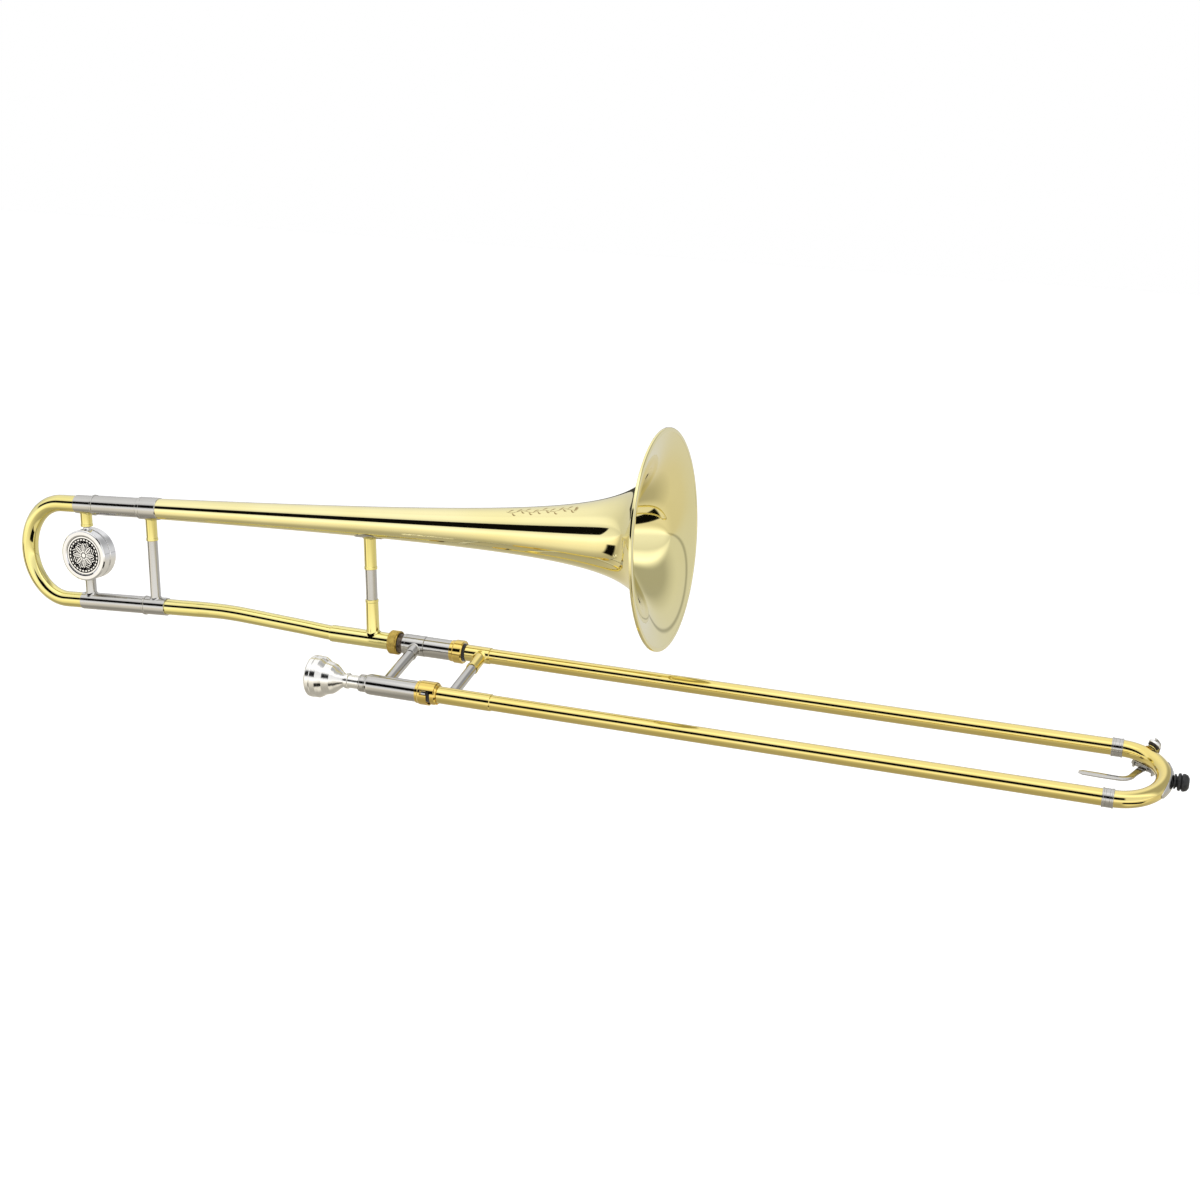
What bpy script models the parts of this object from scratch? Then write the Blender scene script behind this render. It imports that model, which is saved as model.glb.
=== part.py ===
"""Straight tenor trombone, built as separate named pieces.

Frame: +X forward along the hand slide, +Z up, the bell in the XZ plane.
Origin: on the bell-side slide tube's axis, where the bell section meets the hand slide.
"""
import math

import bmesh
import bpy
from mathutils import Matrix, Vector

MM = 0.001
GAP = 0.3                     # clearance between touching pieces, mm

# --- Hand slide layout (mm) ---
SLIDE_SPACING = 78.1          # centre to centre of the two slide tubes
SLIDE_ROLL = 15.1             # degrees the mouthpiece side sits below level
OUTER_BRACE_X = 88.0
INNER_BRACE_X = 20.5
BELL_TUBE_X0 = 71.6            # rear end of the bell-side outer tube
MOUTH_TUBE_X0 = 72.8           # rear end of the mouthpiece-side outer tube
OUTER_TUBE_X1 = 673.6
INNER_TUBE_X1 = 655.0
FERRULE_X0 = 669.0
FERRULE_X1 = 678.6
CROOK_X = 677.0               # start of the crook's half turn
CROOK_DEPTH = 38.3            # from there to the centreline's nose

# --- Slide tube radii (mm) ---
R_OUTER = 7.25
R_OUTER_BORE = 6.95
R_INNER = 6.75
R_INNER_BORE = 6.35
R_OVERSLEEVE = 7.9
R_BARREL = 9.7

# --- Bell section layout (mm) ---
BELL_TILT = 3.32              # degrees the bell axis rises towards the rim
BELL_AXIS_X = 88.0            # a point on the bell axis
BELL_AXIS_Z = 122.5
BOW_SPACING = 99.9            # bell axis to lower tuning leg
BOW_S = -467.5                # start of the bow's half turn along the bell axis
BOW_DEPTH = 42.0              # from there to the centreline's far end
RIM_S = 175.0                 # bell rim plane along the bell axis
R_RIM = 101.6                 # half of an 8 inch bell
REAR_BRACE_S = -363.4
FRONT_BRACE_S = -121.8
COUNTERWEIGHT_S = -439.2

# --- Bell taper: radius = K * (S1 - s) ** -G - C ---
TAPER_K = 319.0
TAPER_S1 = 184.2
TAPER_G = 0.506
TAPER_C = 2.83
BELL_WALL = 0.6

# --- Mesh density ---
SEG_TUBE = 16
SEG_BELL = 28
SEG_SMALL = 12
CURVE_RES = 4                 # gives 12 sides round a swept tube


for old in list(bpy.data.objects):
    bpy.data.objects.remove(old, do_unlink=True)

scene = bpy.context.scene
parts = bpy.data.collections.new("trombone")
cutters = bpy.data.collections.new("cutters")
scene.collection.children.link(parts)
scene.collection.children.link(cutters)


# ---------------------------------------------------------------- frames
ROLL = math.radians(SLIDE_ROLL)
TILT = math.radians(BELL_TILT)
X_AXIS = Vector((1, 0, 0))
ACROSS = Vector((0, math.cos(ROLL), math.sin(ROLL)))     # towards the bell side
NORMAL = Vector((0, -math.sin(ROLL), math.cos(ROLL)))    # up out of the slide plane
BELL_DIR = Vector((math.cos(TILT), 0, math.sin(TILT)))
BELL_UP = Vector((-math.sin(TILT), 0, math.cos(TILT)))
SIDE = Vector((0, 1, 0))


def slide_pt(x, across=0.0, up=0.0):
    """A point in the slide's frame: along X, across the tubes, out of their plane (mm)."""
    return (X_AXIS * x + ACROSS * across + NORMAL * up) * MM


def bell_pt(s, up=0.0, side=0.0):
    """A point in the bell's frame: along its axis, up and sideways from it (mm)."""
    base = Vector((BELL_AXIS_X, 0, BELL_AXIS_Z))
    return (base + BELL_DIR * s + BELL_UP * up + SIDE * side) * MM


def frame_matrix(origin, z_dir, x_hint):
    """Placement with local Z along z_dir and local X near x_hint."""
    z = z_dir.normalized()
    x = (x_hint - z * x_hint.dot(z)).normalized()
    y = z.cross(x)
    rot = Matrix((x, y, z)).transposed().to_4x4()
    return Matrix.Translation(origin) @ rot


# ---------------------------------------------------------------- materials
def material(name, colour, roughness, metallic):
    mat = bpy.data.materials.new(name)
    mat.use_nodes = True
    shader = mat.node_tree.nodes["Principled BSDF"]
    shader.inputs["Base Color"].default_value = (*colour, 1.0)
    shader.inputs["Roughness"].default_value = roughness
    shader.inputs["Metallic"].default_value = metallic
    mat.diffuse_color = (*colour, 1.0)
    return mat


FINISH = {
    "brass": ((0.83, 0.63, 0.24), 0.16, 1.0),
    "nickel": ((0.66, 0.64, 0.60), 0.22, 1.0),
    "chrome": ((0.80, 0.80, 0.82), 0.08, 1.0),
    "silver": ((0.90, 0.89, 0.87), 0.10, 1.0),
    "rubber": ((0.02, 0.02, 0.02), 0.60, 0.0),
    "felt": ((0.03, 0.03, 0.03), 0.90, 0.0),
    "cork": ((0.05, 0.04, 0.03), 0.85, 0.0),
    "dark": ((0.12, 0.12, 0.12), 0.45, 1.0),
    "steel": ((0.60, 0.60, 0.62), 0.25, 1.0),
}


def finish(obj, kind):
    colour, roughness, metallic = FINISH[kind]
    obj.data.materials.append(material(obj.name, colour, roughness, metallic))


# ---------------------------------------------------------------- builders
def link(obj, cutter=False):
    (cutters if cutter else parts).objects.link(obj)
    if cutter:
        obj.hide_render = True
        obj.display_type = "WIRE"
    return obj


def add_screw(obj, segments):
    mod = obj.modifiers.new("turn", "SCREW")
    mod.axis = "Z"
    mod.angle = 2 * math.pi
    mod.steps = segments
    mod.render_steps = segments
    mod.use_merge_vertices = True
    mod.merge_threshold = 0.00001
    mod.use_smooth_shade = True


def profile_object(name, points, closed, placement, segments, kind=None):
    """A turned body from a half section of (radius, height) points in mm."""
    mesh = bpy.data.meshes.new(name)
    verts = [(r * MM, 0, z * MM) for r, z in points]
    edges = [(i, i + 1) for i in range(len(verts) - 1)]
    if closed:
        edges.append((len(verts) - 1, 0))
    mesh.from_pydata(verts, edges, [])
    obj = bpy.data.objects.new(name, mesh)
    obj.matrix_world = placement
    add_screw(obj, segments)
    link(obj, cutter=kind is None)
    if kind is not None:
        finish(obj, kind)
    return obj


def ring(name, outer, inner, placement, kind, segments=SEG_TUBE):
    """A hollow turned piece; outer and inner are (station, radius) lists, rear to front."""
    points = [(r, z) for z, r in reversed(outer)]
    points += [(r, z) for z, r in inner]
    return profile_object(name, points, True, placement, segments, kind)


def tube(name, x0, x1, r_out, r_in, placement, kind, segments=SEG_TUBE):
    """A plain round tube between two stations."""
    return ring(name, [(x0, r_out), (x1, r_out)], [(x0, r_in), (x1, r_in)],
                placement, kind, segments)


def solid(name, outer, placement, kind, segments=SEG_TUBE):
    """A solid turned piece; outer is a (station, radius) list, rear to front."""
    points = [(0, outer[-1][0])]
    points += [(r, z) for z, r in reversed(outer)]
    points.append((0, outer[0][0]))
    return profile_object(name, points, False, placement, segments, kind)


def cut(obj, cutter):
    mod = obj.modifiers.new("cut", "BOOLEAN")
    mod.operation = "DIFFERENCE"
    mod.solver = "EXACT"
    mod.object = cutter


def cutter_cylinder(name, placement, radius, z0, z1, segments=SEG_TUBE):
    points = [(0, z1), (radius, z1), (radius, z0), (0, z0)]
    return profile_object(name, points, False, placement, segments)


def bent_tube(name, path, radii, wall, kind, sides=CURVE_RES):
    """A hollow tube swept along points, with one radius (mm) for each point."""
    curve = bpy.data.curves.new(name, "CURVE")
    curve.dimensions = "3D"
    curve.twist_mode = "MINIMUM"
    spline = curve.splines.new("POLY")
    spline.points.add(len(path) - 1)
    for point, co, radius in zip(spline.points, path, radii):
        point.co = (*co, 1)
        point.radius = radius
    curve.bevel_depth = MM
    curve.bevel_resolution = sides
    curve.use_fill_caps = False
    obj = bpy.data.objects.new(name, curve)
    link(obj)
    mod = obj.modifiers.new("wall", "SOLIDIFY")
    mod.thickness = wall * MM
    mod.offset = -1
    finish(obj, kind)
    return obj


def box(name, size, placement, kind=None, bevel=0.0):
    """A box of size (mm), centred on its placement."""
    mesh = bpy.data.meshes.new(name)
    x, y, z = (0.5 * MM * v for v in size)
    verts = [(i * x, j * y, k * z) for i in (-1, 1) for j in (-1, 1) for k in (-1, 1)]
    faces = [(0, 1, 3, 2), (4, 6, 7, 5), (0, 4, 5, 1), (2, 3, 7, 6), (0, 2, 6, 4), (1, 5, 7, 3)]
    mesh.from_pydata(verts, [], faces)
    obj = bpy.data.objects.new(name, mesh)
    obj.matrix_world = placement
    link(obj, cutter=kind is None)
    if kind is not None:
        finish(obj, kind)
    if bevel:
        mod = obj.modifiers.new("edges", "BEVEL")
        mod.width = bevel * MM
        mod.segments = 1
    return obj


def flat_bar(name, path, widths, across, thickness, kind):
    """A flat bar along path points; its width runs along across, its thickness is solidified."""
    mesh = bpy.data.meshes.new(name)
    verts = []
    for point, width, direction in zip(path, widths, across):
        verts.append(point - direction * (0.5 * width * MM))
        verts.append(point + direction * (0.5 * width * MM))
    faces = [(2 * i, 2 * i + 1, 2 * i + 3, 2 * i + 2) for i in range(len(path) - 1)]
    mesh.from_pydata(verts, [], faces)
    obj = bpy.data.objects.new(name, mesh)
    link(obj)
    mod = obj.modifiers.new("thick", "SOLIDIFY")
    mod.thickness = thickness * MM
    mod.offset = 0
    mod.use_even_offset = True
    finish(obj, kind)
    return obj


# ---------------------------------------------------------------- placements
BELL_SIDE = frame_matrix(Vector(), X_AXIS, ACROSS)
MOUTH_SIDE = frame_matrix(slide_pt(0, -SLIDE_SPACING), X_AXIS, ACROSS)
BELL_AXIS = frame_matrix(bell_pt(0), BELL_DIR, SIDE)
LOWER_LEG = frame_matrix(bell_pt(0, -BOW_SPACING), BELL_DIR, SIDE)


# ================================================================ bell section
def bell_radius(s):
    return TAPER_K * (TAPER_S1 - s) ** -TAPER_G - TAPER_C


def bell_inner(s):
    """The inner wall's station and radius opposite station s, a wall's thickness away."""
    slope = TAPER_K * TAPER_G * (TAPER_S1 - s) ** (-TAPER_G - 1)
    scale = BELL_WALL / math.hypot(1, slope)
    return s + slope * scale, bell_radius(s) - scale


BELL_STATIONS = (-374, -355, -310, -240, -170, -110, -50, 0, 40, 70, 95, 115, 130,
                 142, 151, 158, 163.5, 168, 171.5, 174.2)
ring("bell_flare",
     [(s, bell_radius(s)) for s in BELL_STATIONS],
     [bell_inner(s) for s in BELL_STATIONS],
     BELL_AXIS, "brass", SEG_BELL)

RIM_FACE_S = RIM_S + 0.2
ring("bell_rim_bead",
     [(RIM_S - 2.8, R_RIM - 1.0), (RIM_S - 2.0, R_RIM), (RIM_S - 0.4, R_RIM),
      (RIM_FACE_S, R_RIM - 1.0)],
     [(RIM_S - 2.6, R_RIM - 2.4), (RIM_S - 1.4, R_RIM - 3.2), (RIM_S - 0.8, R_RIM - 4.6),
      (RIM_FACE_S, R_RIM - 4.6)],
     BELL_AXIS, "brass", SEG_BELL)

ring("bell_tail_ferrule",
     [(-376.0, 10.6), (-375.0, 11.15), (-353.6, 11.15), (-352.3, 10.9)],
     [(-376.0, 9.6), (-374.4, 10.75), (-352.3, 10.75)],
     BELL_AXIS, "nickel", SEG_BELL)

ring("upper_tuning_receiver",
     [(-428.6, 9.9), (-428.0, 10.6), (-426.8, 10.6), (-426.2, 9.9), (-376.3, 9.9)],
     [(-428.6, 9.4), (-376.3, 9.4)],
     BELL_AXIS, "nickel")

ring("lower_tuning_receiver",
     [(-376.0, 9.0), (-375.5, 9.7), (-374.3, 9.7), (-373.8, 9.0), (-350.3, 9.0)],
     [(-376.0, 8.35), (-350.3, 8.35)],
     LOWER_LEG, "nickel")

# The gooseneck drops from the tuning slide's tilt to the hand slide's axis.
leg = [bell_pt(s, -BOW_SPACING) for s in (-357, -340, -312)]
neck_path = leg + [Vector((x * MM, 0, z * MM)) for x, z in (
    (-205, 5.35), (-190, 5.8), (-175, 5.6), (-160, 4.95), (-130, 3.4), (-100, 1.9),
    (-85, 0.9), (-70, 0.1), (-55, 0), (-9, 0))]
neck_radii = [7.9, 7.9, 7.85, 7.6, 7.5, 7.5, 7.45, 7.3, 7.2, 7.2, 7.2, 7.2, 7.2]
bent_tube("gooseneck", neck_path, neck_radii, 0.7, "brass")

ring("neck_sleeve",
     [(-71.5, 7.9), (-70.5, 8.25), (-9.2, 8.25), (-8.3, 8.0)],
     [(-71.5, 7.65), (-8.3, 7.65)],
     BELL_SIDE, "brass")

ring("neck_taper",
     [(-8.0, 8.1), (-4.8, 8.1), (-4.7, 9.4), (-2.7, 9.4), (-2.6, 8.1), (26.0, 7.6)],
     [(-8.0, 6.9), (26.0, 6.6)],
     BELL_SIDE, "steel")


def brace(placement, pieces, start, end):
    """A cross brace of tubes end to end, the first and last shaped to what they join.

    The placement has its origin on the first joined tube's axis and +Z towards the second.
    Each piece is (name, from, to, kind, first radius, last radius).
    """
    for i, (name, z0, z1, kind, r0, r1) in enumerate(pieces):
        wall = 1.0
        piece = ring(name, [(z0, r0), (z1, r1)], [(z0, r0 - wall), (z1, r1 - wall)],
                     placement, kind, SEG_SMALL)
        if i == 0:
            cut(piece, start)
        if i == len(pieces) - 1:
            cut(piece, end)


# Front bell brace: from the bell down to the neck sleeve.
front_r = bell_radius(FRONT_BRACE_S) + GAP + 0.25
FRONT_LEN = (BELL_AXIS_Z + FRONT_BRACE_S * math.sin(TILT)) / math.cos(TILT)
SADDLE_T = 0.7
front_frame = frame_matrix(bell_pt(FRONT_BRACE_S), -BELL_UP, X_AXIS)
cut_bell = cutter_cylinder("cut_bell", BELL_AXIS, front_r, -150, -90, SEG_BELL)
cut_saddle = cutter_cylinder("cut_saddle", BELL_AXIS, front_r + SADDLE_T + GAP, -150, -90,
                             SEG_BELL)
cut_neck = cutter_cylinder("cut_neck", BELL_SIDE, 8.25 + GAP, -60, 0)
brace(front_frame,
      [("front_brace_upper_socket", 10, 46, "brass", 6.2, 5.9),
       ("front_brace_tube", 46.3, 75.4, "nickel", 5.4, 5.4),
       ("front_brace_lower_socket", 75.7, FRONT_LEN - 4, "brass", 5.9, 6.4)],
      cut_saddle, cut_neck)

# The saddle flange: a curved plate between the bell and the front brace.
saddle = solid("bell_saddle_flange",
               [(FRONT_BRACE_S - 18, front_r + SADDLE_T), (FRONT_BRACE_S + 18, front_r + SADDLE_T)],
               BELL_AXIS, "nickel", SEG_BELL)
outline = profile_object("keep_saddle", [(0, 30), (12, 30), (12, 2), (0, 2)], False,
                         front_frame @ Matrix.Diagonal((1.3, 0.9, 1, 1)), 24)
keep = saddle.modifiers.new("outline", "BOOLEAN")
keep.operation = "INTERSECT"
keep.solver = "EXACT"
keep.object = outline
cut(saddle, cut_bell)

# Rear bell brace: from the bell's tail ferrule down to the lower receiver.
rear_frame = frame_matrix(bell_pt(REAR_BRACE_S), -BELL_UP, X_AXIS)
cut_tail = cutter_cylinder("cut_tail", BELL_AXIS, 11.15 + GAP, -390, -340, SEG_BELL)
cut_receiver = cutter_cylinder("cut_receiver", LOWER_LEG, 9.0 + GAP, -377, -340)
brace(rear_frame,
      [("rear_brace_socket", 8, 32.5, "brass", 5.9, 5.6),
       ("rear_brace_tube", 32.8, BOW_SPACING - 6, "nickel", 5.0, 5.0)],
      cut_tail, cut_receiver)


# ================================================================ bell lock nut
ring("bell_lock_nut",
     [(-8.0, 10.6), (-7.0, 11.6), (1.0, 11.6), (2.0, 10.9)],
     [(-8.0, 8.5), (-5.1, 8.5), (-5.0, 9.75), (2.0, 9.75)],
     BELL_SIDE, "brass", 28)


# ================================================================ tuning slide
BOW_R = 0.5 * BOW_SPACING
BOW_STEPS = 14
bow_points = [bell_pt(-441.2), bell_pt(BOW_S + 2)]
for i in range(1, BOW_STEPS):
    turn = math.pi * i / BOW_STEPS
    bow_points.append(bell_pt(BOW_S - BOW_DEPTH * math.sin(turn), BOW_R * (math.cos(turn) - 1)))
bow_points += [bell_pt(BOW_S + 2, -BOW_SPACING), bell_pt(-441.2, -BOW_SPACING)]
bow_radii = [8.5, 8.5]
bow_radii += [8.5 - 0.6 * i / BOW_STEPS for i in range(1, BOW_STEPS)]
bow_radii += [7.9, 7.9]
bent_tube("tuning_bow", bow_points, bow_radii, 0.7, "brass")

ring("upper_bow_ferrule",
     [(-449.0, 9.1), (-448.4, 9.3), (-429.8, 9.3), (-429.1, 9.1)],
     [(-449.0, 8.85), (-429.1, 8.85)],
     BELL_AXIS, "nickel")
ring("upper_inner_leg",
     [(-440.9, 8.5), (-429.0, 8.5), (-428.0, 9.1), (-381.0, 9.1)],
     [(-440.9, 7.9), (-429.0, 7.9), (-428.0, 8.5), (-381.0, 8.5)],
     BELL_AXIS, "nickel")
ring("lower_bow_sleeve",
     [(-448.6, 8.5), (-448.0, 8.7), (-377.0, 8.7), (-376.3, 8.5)],
     [(-448.6, 8.25), (-376.3, 8.25)],
     LOWER_LEG, "nickel")
tube("lower_inner_leg", -440.9, -357.4, 7.95, 7.4, LOWER_LEG, "nickel")

# Counterweight: a drum held between two posts and turned a little about them.
CW_RADIUS = 26.0
CW_HALF_DEPTH = 9.9
CW_DROP = 50.9
CW_TURN = math.radians(2)
post_frame = frame_matrix(bell_pt(COUNTERWEIGHT_S), -BELL_UP, X_AXIS)
face_dir = -(SIDE * math.cos(CW_TURN) + BELL_DIR * math.sin(CW_TURN))
drum_frame = frame_matrix(bell_pt(COUNTERWEIGHT_S, -CW_DROP), face_dir, BELL_UP)
cut_bow_top = cutter_cylinder("cut_bow_top", BELL_AXIS, 9.3 + GAP, -460, -420)
cut_bow_low = cutter_cylinder("cut_bow_low", LOWER_LEG, 8.7 + GAP, -460, -420)
cut_drum = cutter_cylinder("cut_drum", drum_frame, CW_RADIUS + GAP, -30, 30, 32)

upper_post = solid("counterweight_upper_post",
                   [(7, 6.2), (13, 5.9), (21.8, 5.9), (22.7, 4.8), (23.0, 3.8), (30, 3.8)],
                   post_frame, "brass", SEG_SMALL)
cut(upper_post, cut_bow_top)
cut(upper_post, cut_drum)
lower_post = solid("counterweight_lower_post", [(70, 5.4), (88, 5.4), (94, 6.2)],
                   post_frame, "nickel", SEG_SMALL)
cut(lower_post, cut_drum)
cut(lower_post, cut_bow_low)

H = CW_HALF_DEPTH
drum_section = [(0, H - 2.2), (19.8, H - 2.2), (19.8, H - 0.3), (21.0, H), (24.6, H),
                (CW_RADIUS, H - 1.2), (CW_RADIUS, 1.2), (CW_RADIUS - 1.2, 0.4),
                (CW_RADIUS - 1.2, -0.4), (CW_RADIUS, -1.2), (CW_RADIUS, 1.2 - H),
                (24.6, -H), (0, -H)]
profile_object("counterweight_drum", drum_section, False, drum_frame, 32, "chrome")
solid("counterweight_medallion", [(H - 1.9, 19.4), (H - 1.0, 19.4), (H - 0.6, 17.8)],
      drum_frame, "dark", 32)


# ================================================================ inner slide
ring("hand_slide_receiver",
     [(-2.2, 9.4), (6.6, 9.4), (6.8, 9.9), (29.2, 9.9)],
     [(-2.2, 8.5), (26.4, 8.0), (26.6, 7.1), (29.2, 7.1)],
     BELL_SIDE, "nickel")
ring("bell_side_barrel",
     [(29.5, R_BARREL), (56.1, R_BARREL), (56.2, 8.9), (69.0, 8.9)],
     [(29.5, 7.05), (40.0, 7.05), (44.0, 8.4), (69.0, 8.4)],
     BELL_SIDE, "nickel")
ring("bell_side_end_ring",
     [(56.4, 9.8), (57.0, 10.3), (60.0, 10.3), (60.8, 11.2), (68.8, 11.2), (69.5, 10.6)],
     [(56.4, 9.2), (69.5, 9.2)],
     BELL_SIDE, "brass")
tube("bell_side_felt", 60.0, 71.2, 8.1, 7.05, BELL_SIDE, "felt")
tube("bell_side_inner_tube", 27.0, INNER_TUBE_X1, R_INNER, R_INNER_BORE, BELL_SIDE, "chrome")

ring("mouthpiece_receiver",
     [(-3.0, 7.6), (-2.2, 8.2), (3.0, 8.2), (3.8, 7.8)],
     [(-3.0, 6.75), (3.8, 6.75)],
     MOUTH_SIDE, "nickel")
ring("mouthpiece_side_barrel",
     [(4.1, 8.2), (5.9, 9.3), (8.4, R_BARREL), (55.5, R_BARREL), (55.6, 8.9), (66.6, 8.9)],
     [(4.1, 7.05), (24.0, 7.05), (28.0, 8.4), (66.6, 8.4)],
     MOUTH_SIDE, "nickel")
tube("mouthpiece_side_felt", 60.0, 72.4, 8.1, 7.05, MOUTH_SIDE, "felt")
tube("mouthpiece_side_inner_tube", 4.2, INNER_TUBE_X1, R_INNER, R_INNER_BORE, MOUTH_SIDE,
     "chrome")
ring("leadpipe",
     [(20.0, 6.05), (210.0, 6.05)],
     [(20.0, 5.0), (60.0, 5.2), (210.0, 5.7)],
     MOUTH_SIDE, "brass")

inner_brace_frame = frame_matrix(slide_pt(INNER_BRACE_X), -ACROSS, X_AXIS)
cut_ib_bell = cutter_cylinder("cut_inner_brace_bell", BELL_SIDE, 9.9 + GAP, 5, 35)
cut_ib_mouth = cutter_cylinder("cut_inner_brace_mouth", MOUTH_SIDE, R_BARREL + GAP, 5, 35)
brace(inner_brace_frame,
      [("inner_brace_socket", 7, 19, "nickel", 6.1, 5.9),
       ("inner_brace_tube", 19.3, SLIDE_SPACING - 7, "nickel", 5.4, 5.4)],
      cut_ib_bell, cut_ib_mouth)


# ================================================================ slide lock ring
LOCK_ANGLE = math.radians(150)       # where the bayonet slot faces, round from ACROSS
lock_dir = ACROSS * math.cos(LOCK_ANGLE) + NORMAL * math.sin(LOCK_ANGLE)
lock_low = X_AXIS.cross(lock_dir)
lock_ring = ring("slide_lock_ring",
                 [(55.9, 10.3), (56.5, 10.6), (59.0, 10.6), (59.8, 11.3), (74.0, 11.3),
                  (74.8, 10.8)],
                 [(55.9, 9.2), (66.8, 9.2), (67.0, 10.5), (74.8, 10.5)],
                 MOUTH_SIDE, "brass", 28)
slot_frame = frame_matrix(slide_pt(66.0, -SLIDE_SPACING) + lock_dir * 10.5 * MM, X_AXIS, lock_dir)
cut(lock_ring, box("cut_lock_slot", (5.0, 4.2, 9.0), slot_frame))
step_centre = slide_pt(72.15, -SLIDE_SPACING) + lock_dir * 4 * MM + lock_low * 9 * MM
step_frame = frame_matrix(step_centre, X_AXIS, lock_dir)
cut(lock_ring, box("cut_lock_step", (19.0, 18.0, 7.7), step_frame))


# ================================================================ mouthpiece
ring("mouthpiece",
     [(-53.4, 17.4), (-52.6, 18.9), (-51.0, 19.7), (-47.5, 19.7), (-47.0, 19.3), (-46.5, 19.6),
      (-41.5, 19.4), (-39.5, 18.2), (-36.0, 15.8), (-29.4, 14.0), (-24.2, 10.2), (-20.8, 7.2),
      (-18.6, 6.0), (-17.8, 6.0), (-17.2, 7.3), (-14.4, 7.3), (-13.8, 6.3), (-3.0, 6.2),
      (17.5, 5.75)],
     [(-53.4, 14.8), (-52.2, 13.0), (-44.0, 12.3), (-36.0, 10.4), (-30.0, 7.4), (-25.5, 3.8),
      (-23.0, 3.2), (-12.0, 3.6), (17.5, 4.7)],
     MOUTH_SIDE, "silver", 28)


# ================================================================ outer slide
for label, placement, tube_x0 in (("bell_side", BELL_SIDE, BELL_TUBE_X0),
                                  ("mouthpiece_side", MOUTH_SIDE, MOUTH_TUBE_X0)):
    tube(label + "_outer_tube", tube_x0, OUTER_TUBE_X1, R_OUTER, R_OUTER_BORE,
         placement, "brass")
    ring(label + "_crook_ferrule",
         [(FERRULE_X0, 7.85), (FERRULE_X0 + 0.8, 8.05), (FERRULE_X1 - 0.8, 8.05),
          (FERRULE_X1, 7.85)],
         [(FERRULE_X0, 7.65), (FERRULE_X1, 7.65)],
         placement, "nickel")
ring("bell_side_oversleeve",
     [(71.9, R_OVERSLEEVE), (96.3, R_OVERSLEEVE), (96.9, 7.7)],
     [(71.9, 7.55), (96.9, 7.55)],
     BELL_SIDE, "brass")
ring("mouthpiece_side_oversleeve",
     [(76.9, R_OVERSLEEVE), (128.7, R_OVERSLEEVE), (129.3, 7.7)],
     [(76.9, 7.55), (129.3, 7.55)],
     MOUTH_SIDE, "brass")

CROOK_R = 0.5 * SLIDE_SPACING
CROOK_STEPS = 14


def crook_pt(turn, out=0.0, up=0.0):
    """A point round the crook; turn is 0 at the bell side and pi at the mouthpiece side."""
    x = CROOK_X + (CROOK_DEPTH + out) * math.sin(turn)
    return slide_pt(x, (CROOK_R + out) * math.cos(turn) - CROOK_R, up)


crook_points = [slide_pt(OUTER_TUBE_X1 + 0.4)]
crook_points += [crook_pt(math.pi * i / CROOK_STEPS) for i in range(CROOK_STEPS + 1)]
crook_points.append(slide_pt(OUTER_TUBE_X1 + 0.4, -SLIDE_SPACING))
bent_tube("slide_crook", crook_points, [R_OUTER] * len(crook_points), 0.6, "brass")

outer_brace_frame = frame_matrix(slide_pt(OUTER_BRACE_X), -ACROSS, X_AXIS)
cut_ob_bell = cutter_cylinder("cut_outer_brace_bell", BELL_SIDE, R_OVERSLEEVE + GAP, 60, 120)
cut_ob_mouth = cutter_cylinder("cut_outer_brace_mouth", MOUTH_SIDE, R_OVERSLEEVE + GAP, 60, 120)
brace(outer_brace_frame,
      [("outer_brace_socket", 5, 27, "brass", 6.2, 5.6),
       ("outer_brace_tube", 27.3, SLIDE_SPACING - 5, "nickel", 5.0, 5.0)],
      cut_ob_bell, cut_ob_mouth)

# The lock collar's tab faces the lock ring's slot.
lock_collar = ring("slide_lock_collar",
                   [(70.9, 9.6), (71.4, 10.0), (75.6, 10.0), (76.5, 9.4)],
                   [(70.9, 8.5), (72.9, 8.5), (73.0, 7.55), (76.5, 7.55)],
                   MOUTH_SIDE, "brass")
collar_cut = frame_matrix(slide_pt(75.6, -SLIDE_SPACING) + lock_low * 10 * MM, X_AXIS, lock_dir)
cut(lock_collar, box("cut_lock_collar", (9.0, 5.0, 4.0), collar_cut))

# Guard plate and rubber bumper on the crook's nose.
NOSE_X = CROOK_X + CROOK_DEPTH + R_OUTER
guard_turns = [math.radians(90 + v) for v in (-34, -23, -11.5, 0, 11.5, 23, 34)]
guard_leans = [math.radians(v) for v in (-52, -30, -10, 10, 30, 52)]
guard_skin = R_OUTER + 0.35
guard_verts = [crook_pt(turn, guard_skin * math.cos(lean), guard_skin * math.sin(lean))
               for turn in guard_turns for lean in guard_leans]
guard_faces = []
for i in range(len(guard_turns) - 1):
    for j in range(len(guard_leans) - 1):
        a = i * len(guard_leans) + j
        b = a + len(guard_leans)
        guard_faces.append((a, b, b + 1, a + 1))
guard_mesh = bpy.data.meshes.new("crook_guard")
guard_mesh.from_pydata(guard_verts, [], guard_faces)
guard = link(bpy.data.objects.new("crook_guard", guard_mesh))
guard_skin_mod = guard.modifiers.new("thick", "SOLIDIFY")
guard_skin_mod.thickness = 0.5 * MM
guard_skin_mod.offset = -1
finish(guard, "nickel")

solid("slide_end_bumper",
      [(NOSE_X + 1.3, 5.2), (NOSE_X + 2.6, 5.2), (NOSE_X + 2.8, 3.9), (NOSE_X + 3.9, 3.9),
       (NOSE_X + 5.0, 6.6), (NOSE_X + 6.6, 7.6), (NOSE_X + 9.2, 7.6), (NOSE_X + 11.4, 6.2),
       (NOSE_X + 12.6, 4.0)],
      frame_matrix(slide_pt(0, -CROOK_R), X_AXIS, ACROSS), "rubber")


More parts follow.
